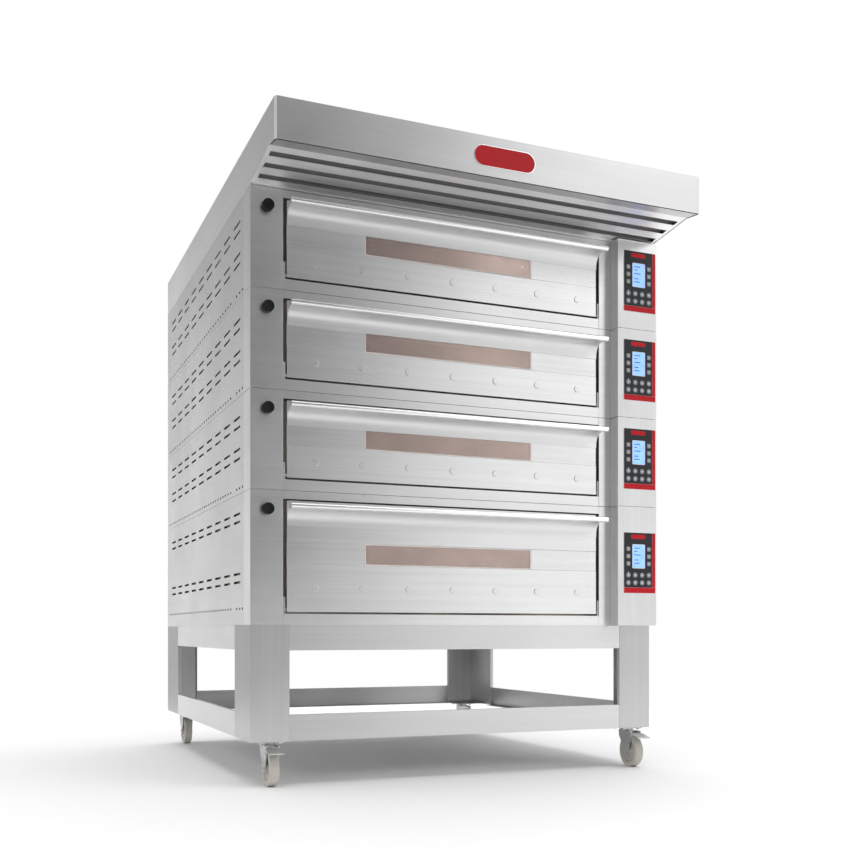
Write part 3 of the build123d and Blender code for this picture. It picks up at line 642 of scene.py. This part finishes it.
@dataclass
class FormedSheet:
    """A CAD node whose sharp folds and cut edges get the small rounding of real sheet."""

    node: str
    finish: str
    rounding: float = 0.8 * MM
    segments: int = 2
    shortest: float = 0.0

    def shape(self) -> BMesh:
        """Copy the node's mesh and join its loose triangles into flat faces.

        Returns:
            The clean mesh.
        """
        shape = bmesh.new()
        shape.from_mesh(NODES[self.node].data)
        bmesh.ops.remove_doubles(shape, verts=shape.verts[:], dist=MERGE_DISTANCE)
        bmesh.ops.dissolve_limit(shape, angle_limit=math.radians(FLAT_ANGLE),
                                 verts=shape.verts[:], edges=shape.edges[:])
        for face in shape.faces:
            face.material_index = 0
        return shape

    def formed(self, shape: BMesh, *materials: Material) -> Object:
        """Round a shape's long sharp edges and make the piece that stands for the node."""
        soften(shape, self.rounding, self.segments, sharp_edges(shape, self.shortest))
        return stand_in(shape, "formed", materials, self.node)

    def build(self, finishes: Finishes) -> Object:
        """Make the sheet in its one finish."""
        return self.formed(self.shape(), finishes[self.finish])


@dataclass
class DoorHandle(FormedSheet):
    """The rolled lip in a darker satin copy of the bar's steel that paints shade, with the bright
    round bar along its edge.
    """

    lip_finish: str = "lip_painted_shade_steel"
    bar_diameter: float = 19 * MM

    def build(self, finishes: Finishes) -> Object:
        """Make the handle: its bar in the bright steel, its lip in the darker copy that paints
        shade.

        Args:
            finishes: The oven's finishes.

        Returns:
            The piece.
        """
        shape = self.shape()
        low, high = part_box(self.node)
        # Faces off the bar take the lip's darker steel, which paints the shade on the lip.
        for face in shape.faces:
            centre = face.calc_center_median()
            on_bar = centre.y < low.y + self.bar_diameter and centre.z > high.z - self.bar_diameter
            face.material_index = 0 if on_bar else 1
        return self.formed(shape, finishes[self.finish], finishes[self.lip_finish])


@dataclass
class WindowRim:
    """The pale ground edge around a door's pane."""

    deck: str
    width: float = 4.2 * MM
    proud: float = 0.5 * MM
    rounding: float = 0.2 * MM

    def build(self, finishes: Finishes) -> Object:
        """Inset a plate of the pane's size and keep its border.

        Args:
            finishes: The oven's finishes.

        Returns:
            The rim.
        """
        glass = f"{self.deck}_door_glass"
        low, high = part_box(glass)
        size = high - low
        place = (Matrix.Translation(((low.x + high.x) / 2, low.y, (low.z + high.z) / 2))
                 @ Matrix.Rotation(math.radians(90), 4, "X")
                 @ Matrix.Diagonal((size.x / 2, size.z / 2, 1.0, 1.0)))
        shape = bmesh.new()
        plate = bmesh.ops.create_grid(shape, x_segments=1, y_segments=1, size=1.0, matrix=place)
        face = plate["verts"][0].link_faces[0]
        bmesh.ops.inset_region(shape, faces=[face], thickness=self.width, use_boundary=True,
                               use_even_offset=True)
        bmesh.ops.delete(shape, geom=[face], context="FACES")
        raised = bmesh.ops.extrude_face_region(shape, geom=shape.faces[:])["geom"]
        shift(shape, raised, (0, -self.proud, 0))
        soften(shape, self.rounding)
        return piece_from(shape, f"{self.deck}_window_rim", (finishes["pane_edge"],),
                          BODY_OF[glass])


def turned(profile: Iterable[Pair], centre: Vector, axis: Vector, steps: int) -> BMesh:
    """Turn a profile once around an axis.

    Args:
        profile: Distances along the axis and from it.
        centre: Point on the axis where the first distance is counted from.
        axis: The axis, X or Y.
        steps: Sides of the round.

    Returns:
        The closed mesh.
    """
    shape = bmesh.new()
    outwards = Vector((0, 0, 1))
    verts = [shape.verts.new(centre + axis * along + outwards * radius)
             for along, radius in profile]
    edges = [shape.edges.new(pair) for pair in zip(verts, verts[1:])]
    bmesh.ops.spin(shape, geom=verts + edges, cent=centre, axis=axis, angle=math.tau,
                   steps=steps, use_merge=True, use_duplicate=False)
    bmesh.ops.remove_doubles(shape, verts=shape.verts[:], dist=MERGE_DISTANCE)
    return shape


@dataclass
class VentKnob:
    """A fluted pull knob with a dished face, on its neck and stem."""

    deck: str
    flutes: int = 24
    flute_depth: float = 0.7 * MM
    length: float = 24 * MM
    taper: float = 7 * MM
    neck: float = 12 * MM
    stem: float = 5 * MM
    ridge: float = 0.99
    pressed: float = -0.5

    def build(self, finishes: Finishes) -> Object:
        """Turn the knob and press its flutes.

        Args:
            finishes: The oven's finishes.

        Returns:
            The knob.
        """
        node = f"{self.deck}_vent_knob"
        low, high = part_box(node)
        radius = (high.x - low.x) / 2
        centre = Vector(((low.x + high.x) / 2, low.y, (low.z + high.z) / 2))
        grip = self.length - self.taper
        end = self.length - 0.5 * MM
        shape = turned((
            (0.9 * MM, 0.0), (0.9 * MM, radius * 0.62), (0.2 * MM, radius * 0.72),
            (0.0, radius * 0.82), (0.3 * MM, radius * 0.93), (1.6 * MM, radius),
            (grip, radius), (grip + 1.2 * MM, radius * 0.95), (grip + 2 * MM, self.neck),
            (end, self.neck), (end, self.stem), (high.y - low.y, self.stem),
            (high.y - low.y, 0.0),
        ), centre, -FORWARD, self.flutes * 4)
        for vert in shape.verts:
            spoke = Vector((vert.co.x - centre.x, 0, vert.co.z - centre.z))
            turn = math.atan2(spoke.z, spoke.x) * self.flutes
            if spoke.length > radius * self.ridge and math.cos(turn) < self.pressed:
                vert.co -= spoke.normalized() * self.flute_depth
        return stand_in(shape, "fluted", (finishes["knob_plastic"],), node)


@dataclass
class CastorWheel:
    """A grey tyre on a moulded hub with bearing caps."""

    castor: str
    tyre: float = 16 * MM
    shoulder: float = 5 * MM
    hub: float = 17 * MM
    bearing: float = 10 * MM
    bore: float = 6.05 * MM
    side_gap: float = 2 * MM
    dish: float = 6 * MM
    rim_step: float = 1.5 * MM
    ledge: float = 1 * MM
    hub_slope: float = 3 * MM
    rim_slope: float = 5 * MM
    bend_steps: int = 6
    turn_steps: int = 72

    def build(self, finishes: Finishes) -> Object:
        """Turn the wheel and give the tyre and the hub their finishes.

        Args:
            finishes: The oven's finishes.

        Returns:
            The wheel.
        """
        node = f"castor_{self.castor}_wheel"
        low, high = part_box(node)
        radius = (high.z - low.z) / 2
        half = (high.x - low.x) / 2
        tread = half - self.side_gap
        rim = radius - self.tyre
        centre = (low + high) / 2
        flank = [
            (half, self.bore), (half, self.bearing),
            (half - self.ledge, self.bearing + self.ledge),
            (half - self.ledge, self.hub - self.ledge), (tread, self.hub),
            (tread - self.dish, self.hub + self.hub_slope),
            (tread - self.dish, rim - self.rim_slope),
            (tread - self.rim_step, rim - self.rim_step), (tread - self.rim_step, rim),
            (tread, rim + self.ledge),
        ]
        turns = [step * math.pi / 2 / self.bend_steps for step in range(self.bend_steps + 1)]
        bend = [(tread - self.shoulder * (1 - math.cos(turn)),
                 radius - self.shoulder * (1 - math.sin(turn))) for turn in turns]
        right = flank + bend
        left = [(-along, distance) for along, distance in reversed(right)]
        outline = right + left
        shape = turned(outline + outline[:1], centre, Vector((1, 0, 0)), self.turn_steps)
        for face in shape.faces:
            middle = face.calc_center_median() - centre
            face.material_index = 0 if Vector((middle.y, middle.z)).length > rim else 1
        return stand_in(shape, "turned", (finishes["castor_tyre"], finishes["castor_hub"]), node)


@dataclass
class Badge:
    """A blank red badge with a slim bright rim."""

    rim: float = 1.2 * MM
    sunk: float = 0.6 * MM
    rounding: float = 0.5 * MM
    corner_segments: int = 12

    def build(self, finishes: Finishes) -> Object:
        """Round a plate, inset its face and sink it.

        Args:
            finishes: The oven's finishes.

        Returns:
            The badge.
        """
        low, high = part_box("hood_badge")
        shape = bmesh.new()
        add_pill(shape, low, high, (high.z - low.z) / 2 - 0.2 * MM, 1, self.rounding,
                 self.corner_segments)
        face = max((face for face in shape.faces if face.normal.y < -ALIGNED),
                   key=lambda item: item.calc_area())
        bmesh.ops.inset_region(shape, faces=[face], thickness=self.rim, depth=0.0)
        bmesh.ops.inset_region(shape, faces=[face], thickness=self.rounding, depth=-self.sunk)
        face.material_index = 0
        return piece_from(shape, "hood_badge_blank",
                          (finishes["badge_red"], finishes["handle_steel"]), "oven",
                          ("hood_badge",))


@dataclass
class BaffleChannels:
    """The troughs behind the hood's slots, which turn the air and catch the grease, dark as
    painted shade.
    """

    slots: int = 3
    spacing: float = 74 * MM
    width: float = 48 * MM
    depth: float = 9 * MM
    lift: float = 7 * MM
    wall: float = 1 * MM
    end_gap: float = 4 * MM
    steps: int = 8

    def build(self, finishes: Finishes) -> Object:
        """Bend a strip over each slot and run it across the hood.

        Args:
            finishes: The oven's finishes.

        Returns:
            The channels.
        """
        low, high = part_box("hood_baffle")
        start = Vector((low.x + self.end_gap, high.y, low.z))
        run = Vector((0, low.y - high.y, high.z - low.z))
        along = run.normalized()
        up = Vector((1, 0, 0)).cross(along)
        if up.z < 0:
            up.negate()
        shape = bmesh.new()
        for number in range(self.slots):
            place = number - (self.slots - 1) / 2
            middle = start + along * (run.length / 2 + place * self.spacing)
            verts = []
            for step in range(self.steps + 1):
                turn = math.pi * (step / self.steps)
                across = -math.cos(turn) * self.width / 2
                rise = self.lift + math.sin(turn) * self.depth
                verts.append(shape.verts.new(middle + along * across + up * rise))
            edges = [shape.edges.new(pair) for pair in zip(verts, verts[1:])]
            made = bmesh.ops.extrude_edge_only(shape, edges=edges)["geom"]
            shift(shape, made, (high.x - low.x - 2 * self.end_gap, 0, 0))
        bmesh.ops.solidify(shape, geom=shape.faces[:], thickness=self.wall)
        # The dark channel steel paints the shade in the grooves between the baffle's strips.
        return piece_from(shape, "hood_baffle_channels", (finishes["channel_painted_shade_steel"],), "oven")


@dataclass
class DripStrip:
    """The folded strip that closes the gap from the baffle down to the top deck."""

    height: float = 7 * MM
    front: float = 3 * MM
    back: float = 5 * MM
    side_gap: float = 2 * MM
    rounding: float = 1 * MM

    def build(self, finishes: Finishes) -> Object:
        """Make the strip.

        Args:
            finishes: The oven's finishes.

        Returns:
            The strip.
        """
        low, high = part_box("hood_baffle")
        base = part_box("deck_4_front_frame")[1].z
        shape = bmesh.new()
        add_block(shape, Vector((low.x + self.side_gap, high.y - self.front, base)),
                  Vector((high.x - self.side_gap, high.y + self.back, base + self.height)))
        soften(shape, self.rounding)
        return piece_from(shape, "hood_drip_strip", (finishes["front_steel"],), "oven")


@dataclass
class Dressing:
    """Finishes of the CAD nodes that keep their own mesh."""

    plan: dict[str, str]

    def apply(self, finishes: Finishes) -> None:
        """Put each finish in its node's slots.

        Args:
            finishes: The oven's finishes.
        """
        for node, finish in self.plan.items():
            slots = NODES[node].material_slots
            for place in slots:
                place.material = finishes[finish]
            if not slots:
                NODES[node].data.materials.append(finishes[finish])
            LOG.info("node %s: %s", node, finish)


# ---- Controls ----


OVERLAY_FINISHES = ("overlay_black", "overlay_red", "overlay_white", "key_plastic",
                    "overlay_white")
FIELD, RED, MARK, KEY, FRAME = range(len(OVERLAY_FINISHES))
SCREEN, INK = range(2)


@dataclass
class Keys:
    """The keys around a display: three square ones on each side and two rows of round ones."""

    column: float = 47.75 * MM
    step: float = 29 * MM
    half: float = 8.5 * MM
    corner: float = 4 * MM
    mark: float = 2.2 * MM
    mark_corner: float = 1 * MM
    sunk: float = 0.02 * MM
    printed: float = 0.1 * MM
    rows: tuple[float, ...] = (74 * MM, 104 * MM)
    row_places: tuple[float, ...] = (-1.5, -0.5, 0.5, 1.5)
    row_step: float = 31.7 * MM
    radius: float = 10 * MM
    segments: int = 32
    dot: float = 3.2 * MM
    dot_segments: int = 20
    rounding: float = 0.35 * MM

    def add(self, shape: BMesh, middle: Vector, face: float, back: float) -> None:
        """Add the keys to an overlay.

        Args:
            shape: The overlay's mesh.
            middle: Middle of the display.
            face: Depth of the keys' faces.
            back: Depth of the overlay's back.
        """
        for side in (-1, 1):
            for step in (-1, 0, 1):
                x = middle.x + side * self.column
                z = middle.z + step * self.step
                add_pill(shape, Vector((x - self.half, face, z - self.half)),
                         Vector((x + self.half, back, z + self.half)), self.corner, KEY,
                         self.rounding)
                add_pill(shape, Vector((x - self.mark, face - self.sunk, z - self.mark)),
                         Vector((x + self.mark, face + self.printed, z + self.mark)),
                         self.mark_corner, MARK)
        for row in self.rows:
            for place in self.row_places:
                x = middle.x + place * self.row_step
                z = middle.z - row
                verts = add_disc(shape, Vector((x, (face + back) / 2, z)), self.radius,
                                 back - face, KEY, self.segments)
                rim = edges_at((edge for vert in verts for edge in vert.link_edges), face)
                soften(shape, self.rounding, 2, rim)
                add_disc(shape, Vector((x, face, z)), self.dot, self.printed, MARK,
                         self.dot_segments)


@dataclass
class ControlOverlay:
    """The membrane overlay of one deck: printed bands, framed display, keys and a status light."""

    number: int
    display: tuple[Vector, Vector] = field(init=False)
    plate: tuple[Vector, Vector] = field(init=False)
    stripe: float = 15 * MM
    band: float = 22 * MM
    skin: float = 0.3 * MM
    cover: float = 0.8 * MM
    margin: float = 1.2 * MM
    gap: float = 0.6 * MM
    corner: float = 6 * MM
    rounding: float = 0.4 * MM
    print_corner: float = 1.5 * MM
    header_half: float = 34 * MM
    header_height: float = 17 * MM
    header_drop: float = 7 * MM
    header_corner: float = 8 * MM
    header_skin: float = 0.15 * MM
    bezel: float = 2.5 * MM
    bezel_skin: float = 0.1 * MM
    bezel_corner: float = 4 * MM
    light: Pair = (20 * MM, 18 * MM)
    light_radius: float = 1.8 * MM
    light_segments: int = 16

    def __post_init__(self) -> None:
        """Find this deck's overlay and display inside their shared CAD nodes."""
        deck_low, deck_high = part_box(f"deck_{self.number}_front_frame")
        self.plate = self.within("control_panels", deck_low.z, deck_high.z)
        self.display = self.within("displays", deck_low.z, deck_high.z)

    @staticmethod
    def within(node: str, bottom: float, top: float) -> tuple[Vector, Vector]:
        """The box of a node's vertices between two heights.

        Args:
            node: The CAD node.
            bottom: Lower height.
            top: Upper height.

        Returns:
            Lowest and highest corner.
        """
        points = [vert.co for vert in NODES[node].data.vertices if bottom < vert.co.z < top]
        low = Vector(min(point[axis] for point in points) for axis in range(3))
        high = Vector(max(point[axis] for point in points) for axis in range(3))
        return low, high

    def printing(self, shape: BMesh) -> None:
        """Add the black field, red stripe, red foot band, header plate and display frame.

        Args:
            shape: The overlay's mesh.
        """
        low, high = self.plate
        film = low.y + self.cover
        face = film - self.skin
        left, right = low.x + self.margin, high.x - self.margin
        bottom, top = low.z + self.margin, high.z - self.margin
        add_pill(shape, Vector((low.x, film, low.z)), high, self.corner, FRAME, self.rounding)
        add_pill(shape, Vector((left, face, bottom + self.band)),
                 Vector((right - self.stripe, film, top)), self.print_corner, FIELD)
        add_pill(shape, Vector((right - self.stripe + self.gap, face, bottom + self.band)),
                 Vector((right, film, top)), self.print_corner, RED)
        add_pill(shape, Vector((left, face, bottom)),
                 Vector((right, film, bottom + self.band - self.gap)), self.print_corner, RED)
        middle = (left + right - self.stripe) / 2
        head = top - self.header_drop
        add_pill(shape, Vector((middle - self.header_half, face - self.header_skin,
                                head - self.header_height)),
                 Vector((middle + self.header_half, film, head)), self.header_corner, RED)
        lit_low, lit_high = self.display
        add_pill(shape, Vector((lit_low.x - self.bezel, face - self.bezel_skin,
                                lit_low.z - self.bezel)),
                 Vector((lit_high.x + self.bezel, film, lit_high.z + self.bezel)),
                 self.bezel_corner, FRAME)

    def build(self) -> BMesh:
        """Make the overlay's mesh.

        Returns:
            The mesh, for the piece that all decks share.
        """
        shape = bmesh.new()
        self.printing(shape)
        low, high = self.display
        face = self.plate[0].y
        Keys().add(shape, (low + high) / 2, face, self.plate[1].y)
        place = Vector((low.x - self.light[0], face + self.cover / 2, low.z - self.light[1]))
        add_disc(shape, place, self.light_radius, self.cover, MARK, self.light_segments)
        return shape


@dataclass
class Screen:
    """The lit display with a few bars for its read-out, each a height and a length."""

    rows: tuple[Pair, ...] = (
        (0.86, 0.62), (0.72, 0.34), (0.56, 0.7), (0.34, 0.48), (0.2, 0.6))
    margin: float = 6 * MM
    half: float = 1.6 * MM
    proud: float = 0.05 * MM
    sunk: float = 0.1 * MM
    corner: float = 3 * MM
    rounding: float = 0.2 * MM

    def build(self, low: Vector, high: Vector) -> BMesh:
        """Make a display's mesh.

        Args:
            low: Its lowest corner.
            high: Its highest corner.

        Returns:
            The mesh, for the piece that all decks share.
        """
        shape = bmesh.new()
        add_pill(shape, low, high, self.corner, SCREEN, self.rounding)
        start = low.x + self.margin
        for rise, share in self.rows:
            z = low.z + (high.z - low.z) * rise
            width = (high.x - low.x - 2 * self.margin) * share
            add_block(shape, Vector((start, low.y - self.proud, z - self.half)),
                      Vector((start + width, low.y + self.sunk, z + self.half)), INK)
        return shape


@dataclass
class ControlColumn:
    """The four overlays and displays on the column of control boxes."""

    def build(self, finishes: Finishes) -> None:
        """Make one piece for the overlays and one for the displays.

        Args:
            finishes: The oven's finishes.
        """
        overlays = bmesh.new()
        screens = bmesh.new()
        for number in range(1, len(DECKS) + 1):
            overlay = ControlOverlay(number)
            merge(overlays, overlay.build())
            merge(screens, Screen().build(*overlay.display))
        piece_from(overlays, "control_overlays", [finishes[name] for name in OVERLAY_FINISHES],
                   "oven", ("control_panels",))
        piece_from(screens, "control_displays", (finishes["display_glow"],
                                                 finishes["display_ink"]),
                   "oven", ("displays",))


def merge(target: BMesh, addition: BMesh) -> None:
    """Add one mesh to another, keeping its material numbers, and free it.

    Args:
        target: The mesh that grows.
        addition: The mesh that is added.
    """
    step = bpy.data.meshes.new("merge_step")
    addition.to_mesh(step)
    addition.free()
    target.from_mesh(step)
    bpy.data.meshes.remove(step)


# ---- Studio ----


@dataclass
class Studio:
    """The pale floor, the soft surroundings and the camera."""

    lens: float = 46.05
    rise: float = 0.2414
    heading: float = -22.67
    stand_off: Triple = (-0.889, -3.701, -0.0243)
    floor_radius: float = 3.4
    floor_segments: int = 96
    edge_heading: float = 17.9
    edge_lean: float = 0.28
    edge_width: float = 0.1
    dim: float = 0.17
    bright: float = 1.14
    rear: float = 0.95
    flank: float = 0.6
    overhead: float = 2.3
    left_ramp: Pair = (-0.85, -0.5)
    rear_ramp: Pair = (0.0, 0.6)
    flank_ramp: Pair = (0.72, 0.95)
    overhead_ramp: Pair = (0.68, 0.93)
    lamp_offset: Triple = (2.5, -2.0, 2.2)
    lamp_size: float = 3.0
    lamp_power: float = 18.0
    sight: float = 200.0

    def floor(self) -> None:
        """Lay a plain pale floor under the castors."""
        shape = bmesh.new()
        bmesh.ops.create_circle(shape, cap_ends=True, segments=self.floor_segments,
                                radius=self.floor_radius)
        mesh = bpy.data.meshes.new("studio_floor")
        shape.to_mesh(mesh)
        shape.free()
        mesh.materials.append(Moulded("floor_white", (0.88, 0.88, 0.88), 0.9, 20.0, 0.004).build())
        floor = bpy.data.objects.new("studio_floor", mesh)
        bpy.context.scene.collection.objects.link(floor)

    def surroundings(self) -> None:
        """Make the light tent: dim to the left of the front, bright to its right and overhead."""
        world = bpy.data.worlds.new("studio_tent")
        bpy.context.scene.world = world
        graph = Graph(world, "OutputWorld")
        direction = graph.node("TexCoord").outputs["Generated"]
        turn = math.radians(self.edge_heading)
        across = graph.node("VectorMath", {"operation": "DOT_PRODUCT"}, **{"0": direction})
        across.inputs[1].default_value = (math.cos(turn), math.sin(turn), 0.0)
        axes = graph.node("SeparateXYZ", None, Vector=direction)
        lean = graph.math("MULTIPLY", graph.math("ABSOLUTE", axes.outputs["Z"]), self.edge_lean)
        edge = graph.math("SUBTRACT", across.outputs["Value"], lean)
        right = graph.span(edge, 0.0, 1.0, (-self.edge_width, self.edge_width), "SMOOTHSTEP")
        left = graph.span(axes.outputs["X"], 1.0, 0.0, self.left_ramp, "SMOOTHSTEP")
        side = graph.span(graph.math("MAXIMUM", right, left), self.dim, self.bright, (0.0, 1.0))
        behind = graph.span(axes.outputs["Y"], 1.0, self.rear, self.rear_ramp, "SMOOTHSTEP")
        sideways = graph.math("ABSOLUTE", axes.outputs["X"])
        beside = graph.span(sideways, 1.0, self.flank, self.flank_ramp, "SMOOTHSTEP")
        above = graph.span(axes.outputs["Z"], 0.0, 1.0, self.overhead_ramp, "SMOOTHSTEP")
        lit = graph.node("Mix", None, Factor=above)
        level = graph.math("MULTIPLY", graph.math("MULTIPLY", side, behind), beside)
        graph.tree.links.new(level, lit.inputs[2])
        lit.inputs[3].default_value = self.overhead
        seen = graph.node("Mix", None, Factor=graph.node("LightPath").outputs["Is Camera Ray"])
        graph.tree.links.new(lit.outputs[0], seen.inputs[2])
        seen.inputs[3].default_value = 1.0
        graph.finish(graph.node("Background", None, Color=(1.0, 1.0, 1.0, 1.0),
                                Strength=seen.outputs[0]))

    def lamp(self) -> None:
        """Hang a square soft light above the front's right, facing the oven's middle."""
        low, high = CAD_BOX
        middle = (low + high) / 2
        data = bpy.data.lights.new("overhead", "AREA")
        data.size = self.lamp_size
        data.energy = self.lamp_power
        lamp = bpy.data.objects.new("overhead", data)
        bpy.context.scene.collection.objects.link(lamp)
        lamp.location = Vector((middle.x, low.y, high.z)) + Vector(self.lamp_offset)
        lamp.rotation_euler = (middle - lamp.location).to_track_quat("-Z", "Y").to_euler()

    def camera(self) -> None:
        """Set up the camera in front of the oven, to its left."""
        low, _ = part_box("side_panels")
        corner = Vector((low.x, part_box("deck_1_front_frame")[0].y, low.z))
        data = bpy.data.cameras.new("view")
        data.lens = self.lens
        data.shift_y = self.rise
        data.clip_end = self.sight
        camera = bpy.data.objects.new("view", data)
        bpy.context.scene.collection.objects.link(camera)
        camera.location = corner + Vector(self.stand_off)
        camera.rotation_euler = (math.radians(90.0), 0.0, math.radians(self.heading))
        bpy.context.scene.camera = camera

    def build(self) -> None:
        """Make the floor, the surroundings, the light and the camera."""
        self.floor()
        self.surroundings()
        self.lamp()
        self.camera()
        bpy.context.scene.view_settings.view_transform = "Standard"


# ---- The oven ----


FORMED: tuple[FormedSheet, ...] = (
    *(FormedSheet(f"{deck}_front_frame", "front_steel") for deck in DECKS),
    *(FormedSheet(f"{deck}_door_panel", "door_steel", 1.0 * MM) for deck in DECKS),
    *(DoorHandle(f"{deck}_door_handle", "handle_steel", 0.6 * MM, shortest=15 * MM)
      for deck in DECKS),
    *(FormedSheet(f"{deck}_door_trim", "door_steel", 1.0 * MM, shortest=30 * MM)
      for deck in DECKS),
    FormedSheet("control_boxes", "control_steel", 1.5 * MM, 3),
    FormedSheet("hood_fascia", "fascia_steel", 0.5 * MM),
    FormedSheet("hood_canopy", "hood_side_steel", 0.5 * MM),
    FormedSheet("hood_baffle", "baffle_steel", 0.5 * MM),
    FormedSheet("hood_housing", "hood_side_steel", 0.5 * MM),
    FormedSheet("stand_legs", "upright_steel", 0.8 * MM),
    FormedSheet("stand_top_rails", "stand_steel", 0.8 * MM),
    FormedSheet("stand_bottom_rails", "stand_steel", 0.8 * MM),
    FormedSheet("castor_plates", "zinc_plate", 0.6 * MM),
    *(FormedSheet(f"castor_{castor}_fork", "zinc_plate", 0.7 * MM) for castor in CASTORS),
    *(FormedSheet(f"castor_{castor}_pedal", "zinc_plate", 0.8 * MM) for castor in CASTORS[:2]),
)

DRESSED = Dressing({
    "side_panels": "side_steel",
    "rear_panels": "upright_steel",
    "deck_floors": "mill_steel",
    "chambers": "heat_stained_steel",
    "hearth_stones": "hearth_stone",
    "heating_elements": "element_sheath",
    "insulation": "mineral_wool",
    "door_hinges": "mill_steel",
    "door_gaskets": "braided_gasket",
    "oven_lamps": "lamp_glass",
    "rear_fittings": "mill_steel",
    "hood_fan_motor": "motor_paint",
    "hood_fan_rotor": "cast_aluminium",
    "hood_flue_collar": "mill_steel",
    **{f"{deck}_door_glass": "oven_glass" for deck in DECKS},
})


def main() -> None:
    """Build the studio and dress the whole oven."""
    finishes = Finishes()
    Studio().build()
    for sheet in FORMED:
        sheet.build(finishes)
    for deck in DECKS:
        WindowRim(deck).build(finishes)
        VentKnob(deck).build(finishes)
    for castor in CASTORS:
        CastorWheel(castor).build(finishes)
    Badge().build(finishes)
    BaffleChannels().build(finishes)
    DripStrip().build(finishes)
    ControlColumn().build(finishes)
    DRESSED.apply(finishes)


if __name__ == "__main__":
    logging.basicConfig(level=logging.INFO, format="%(name)s %(message)s")
    main()
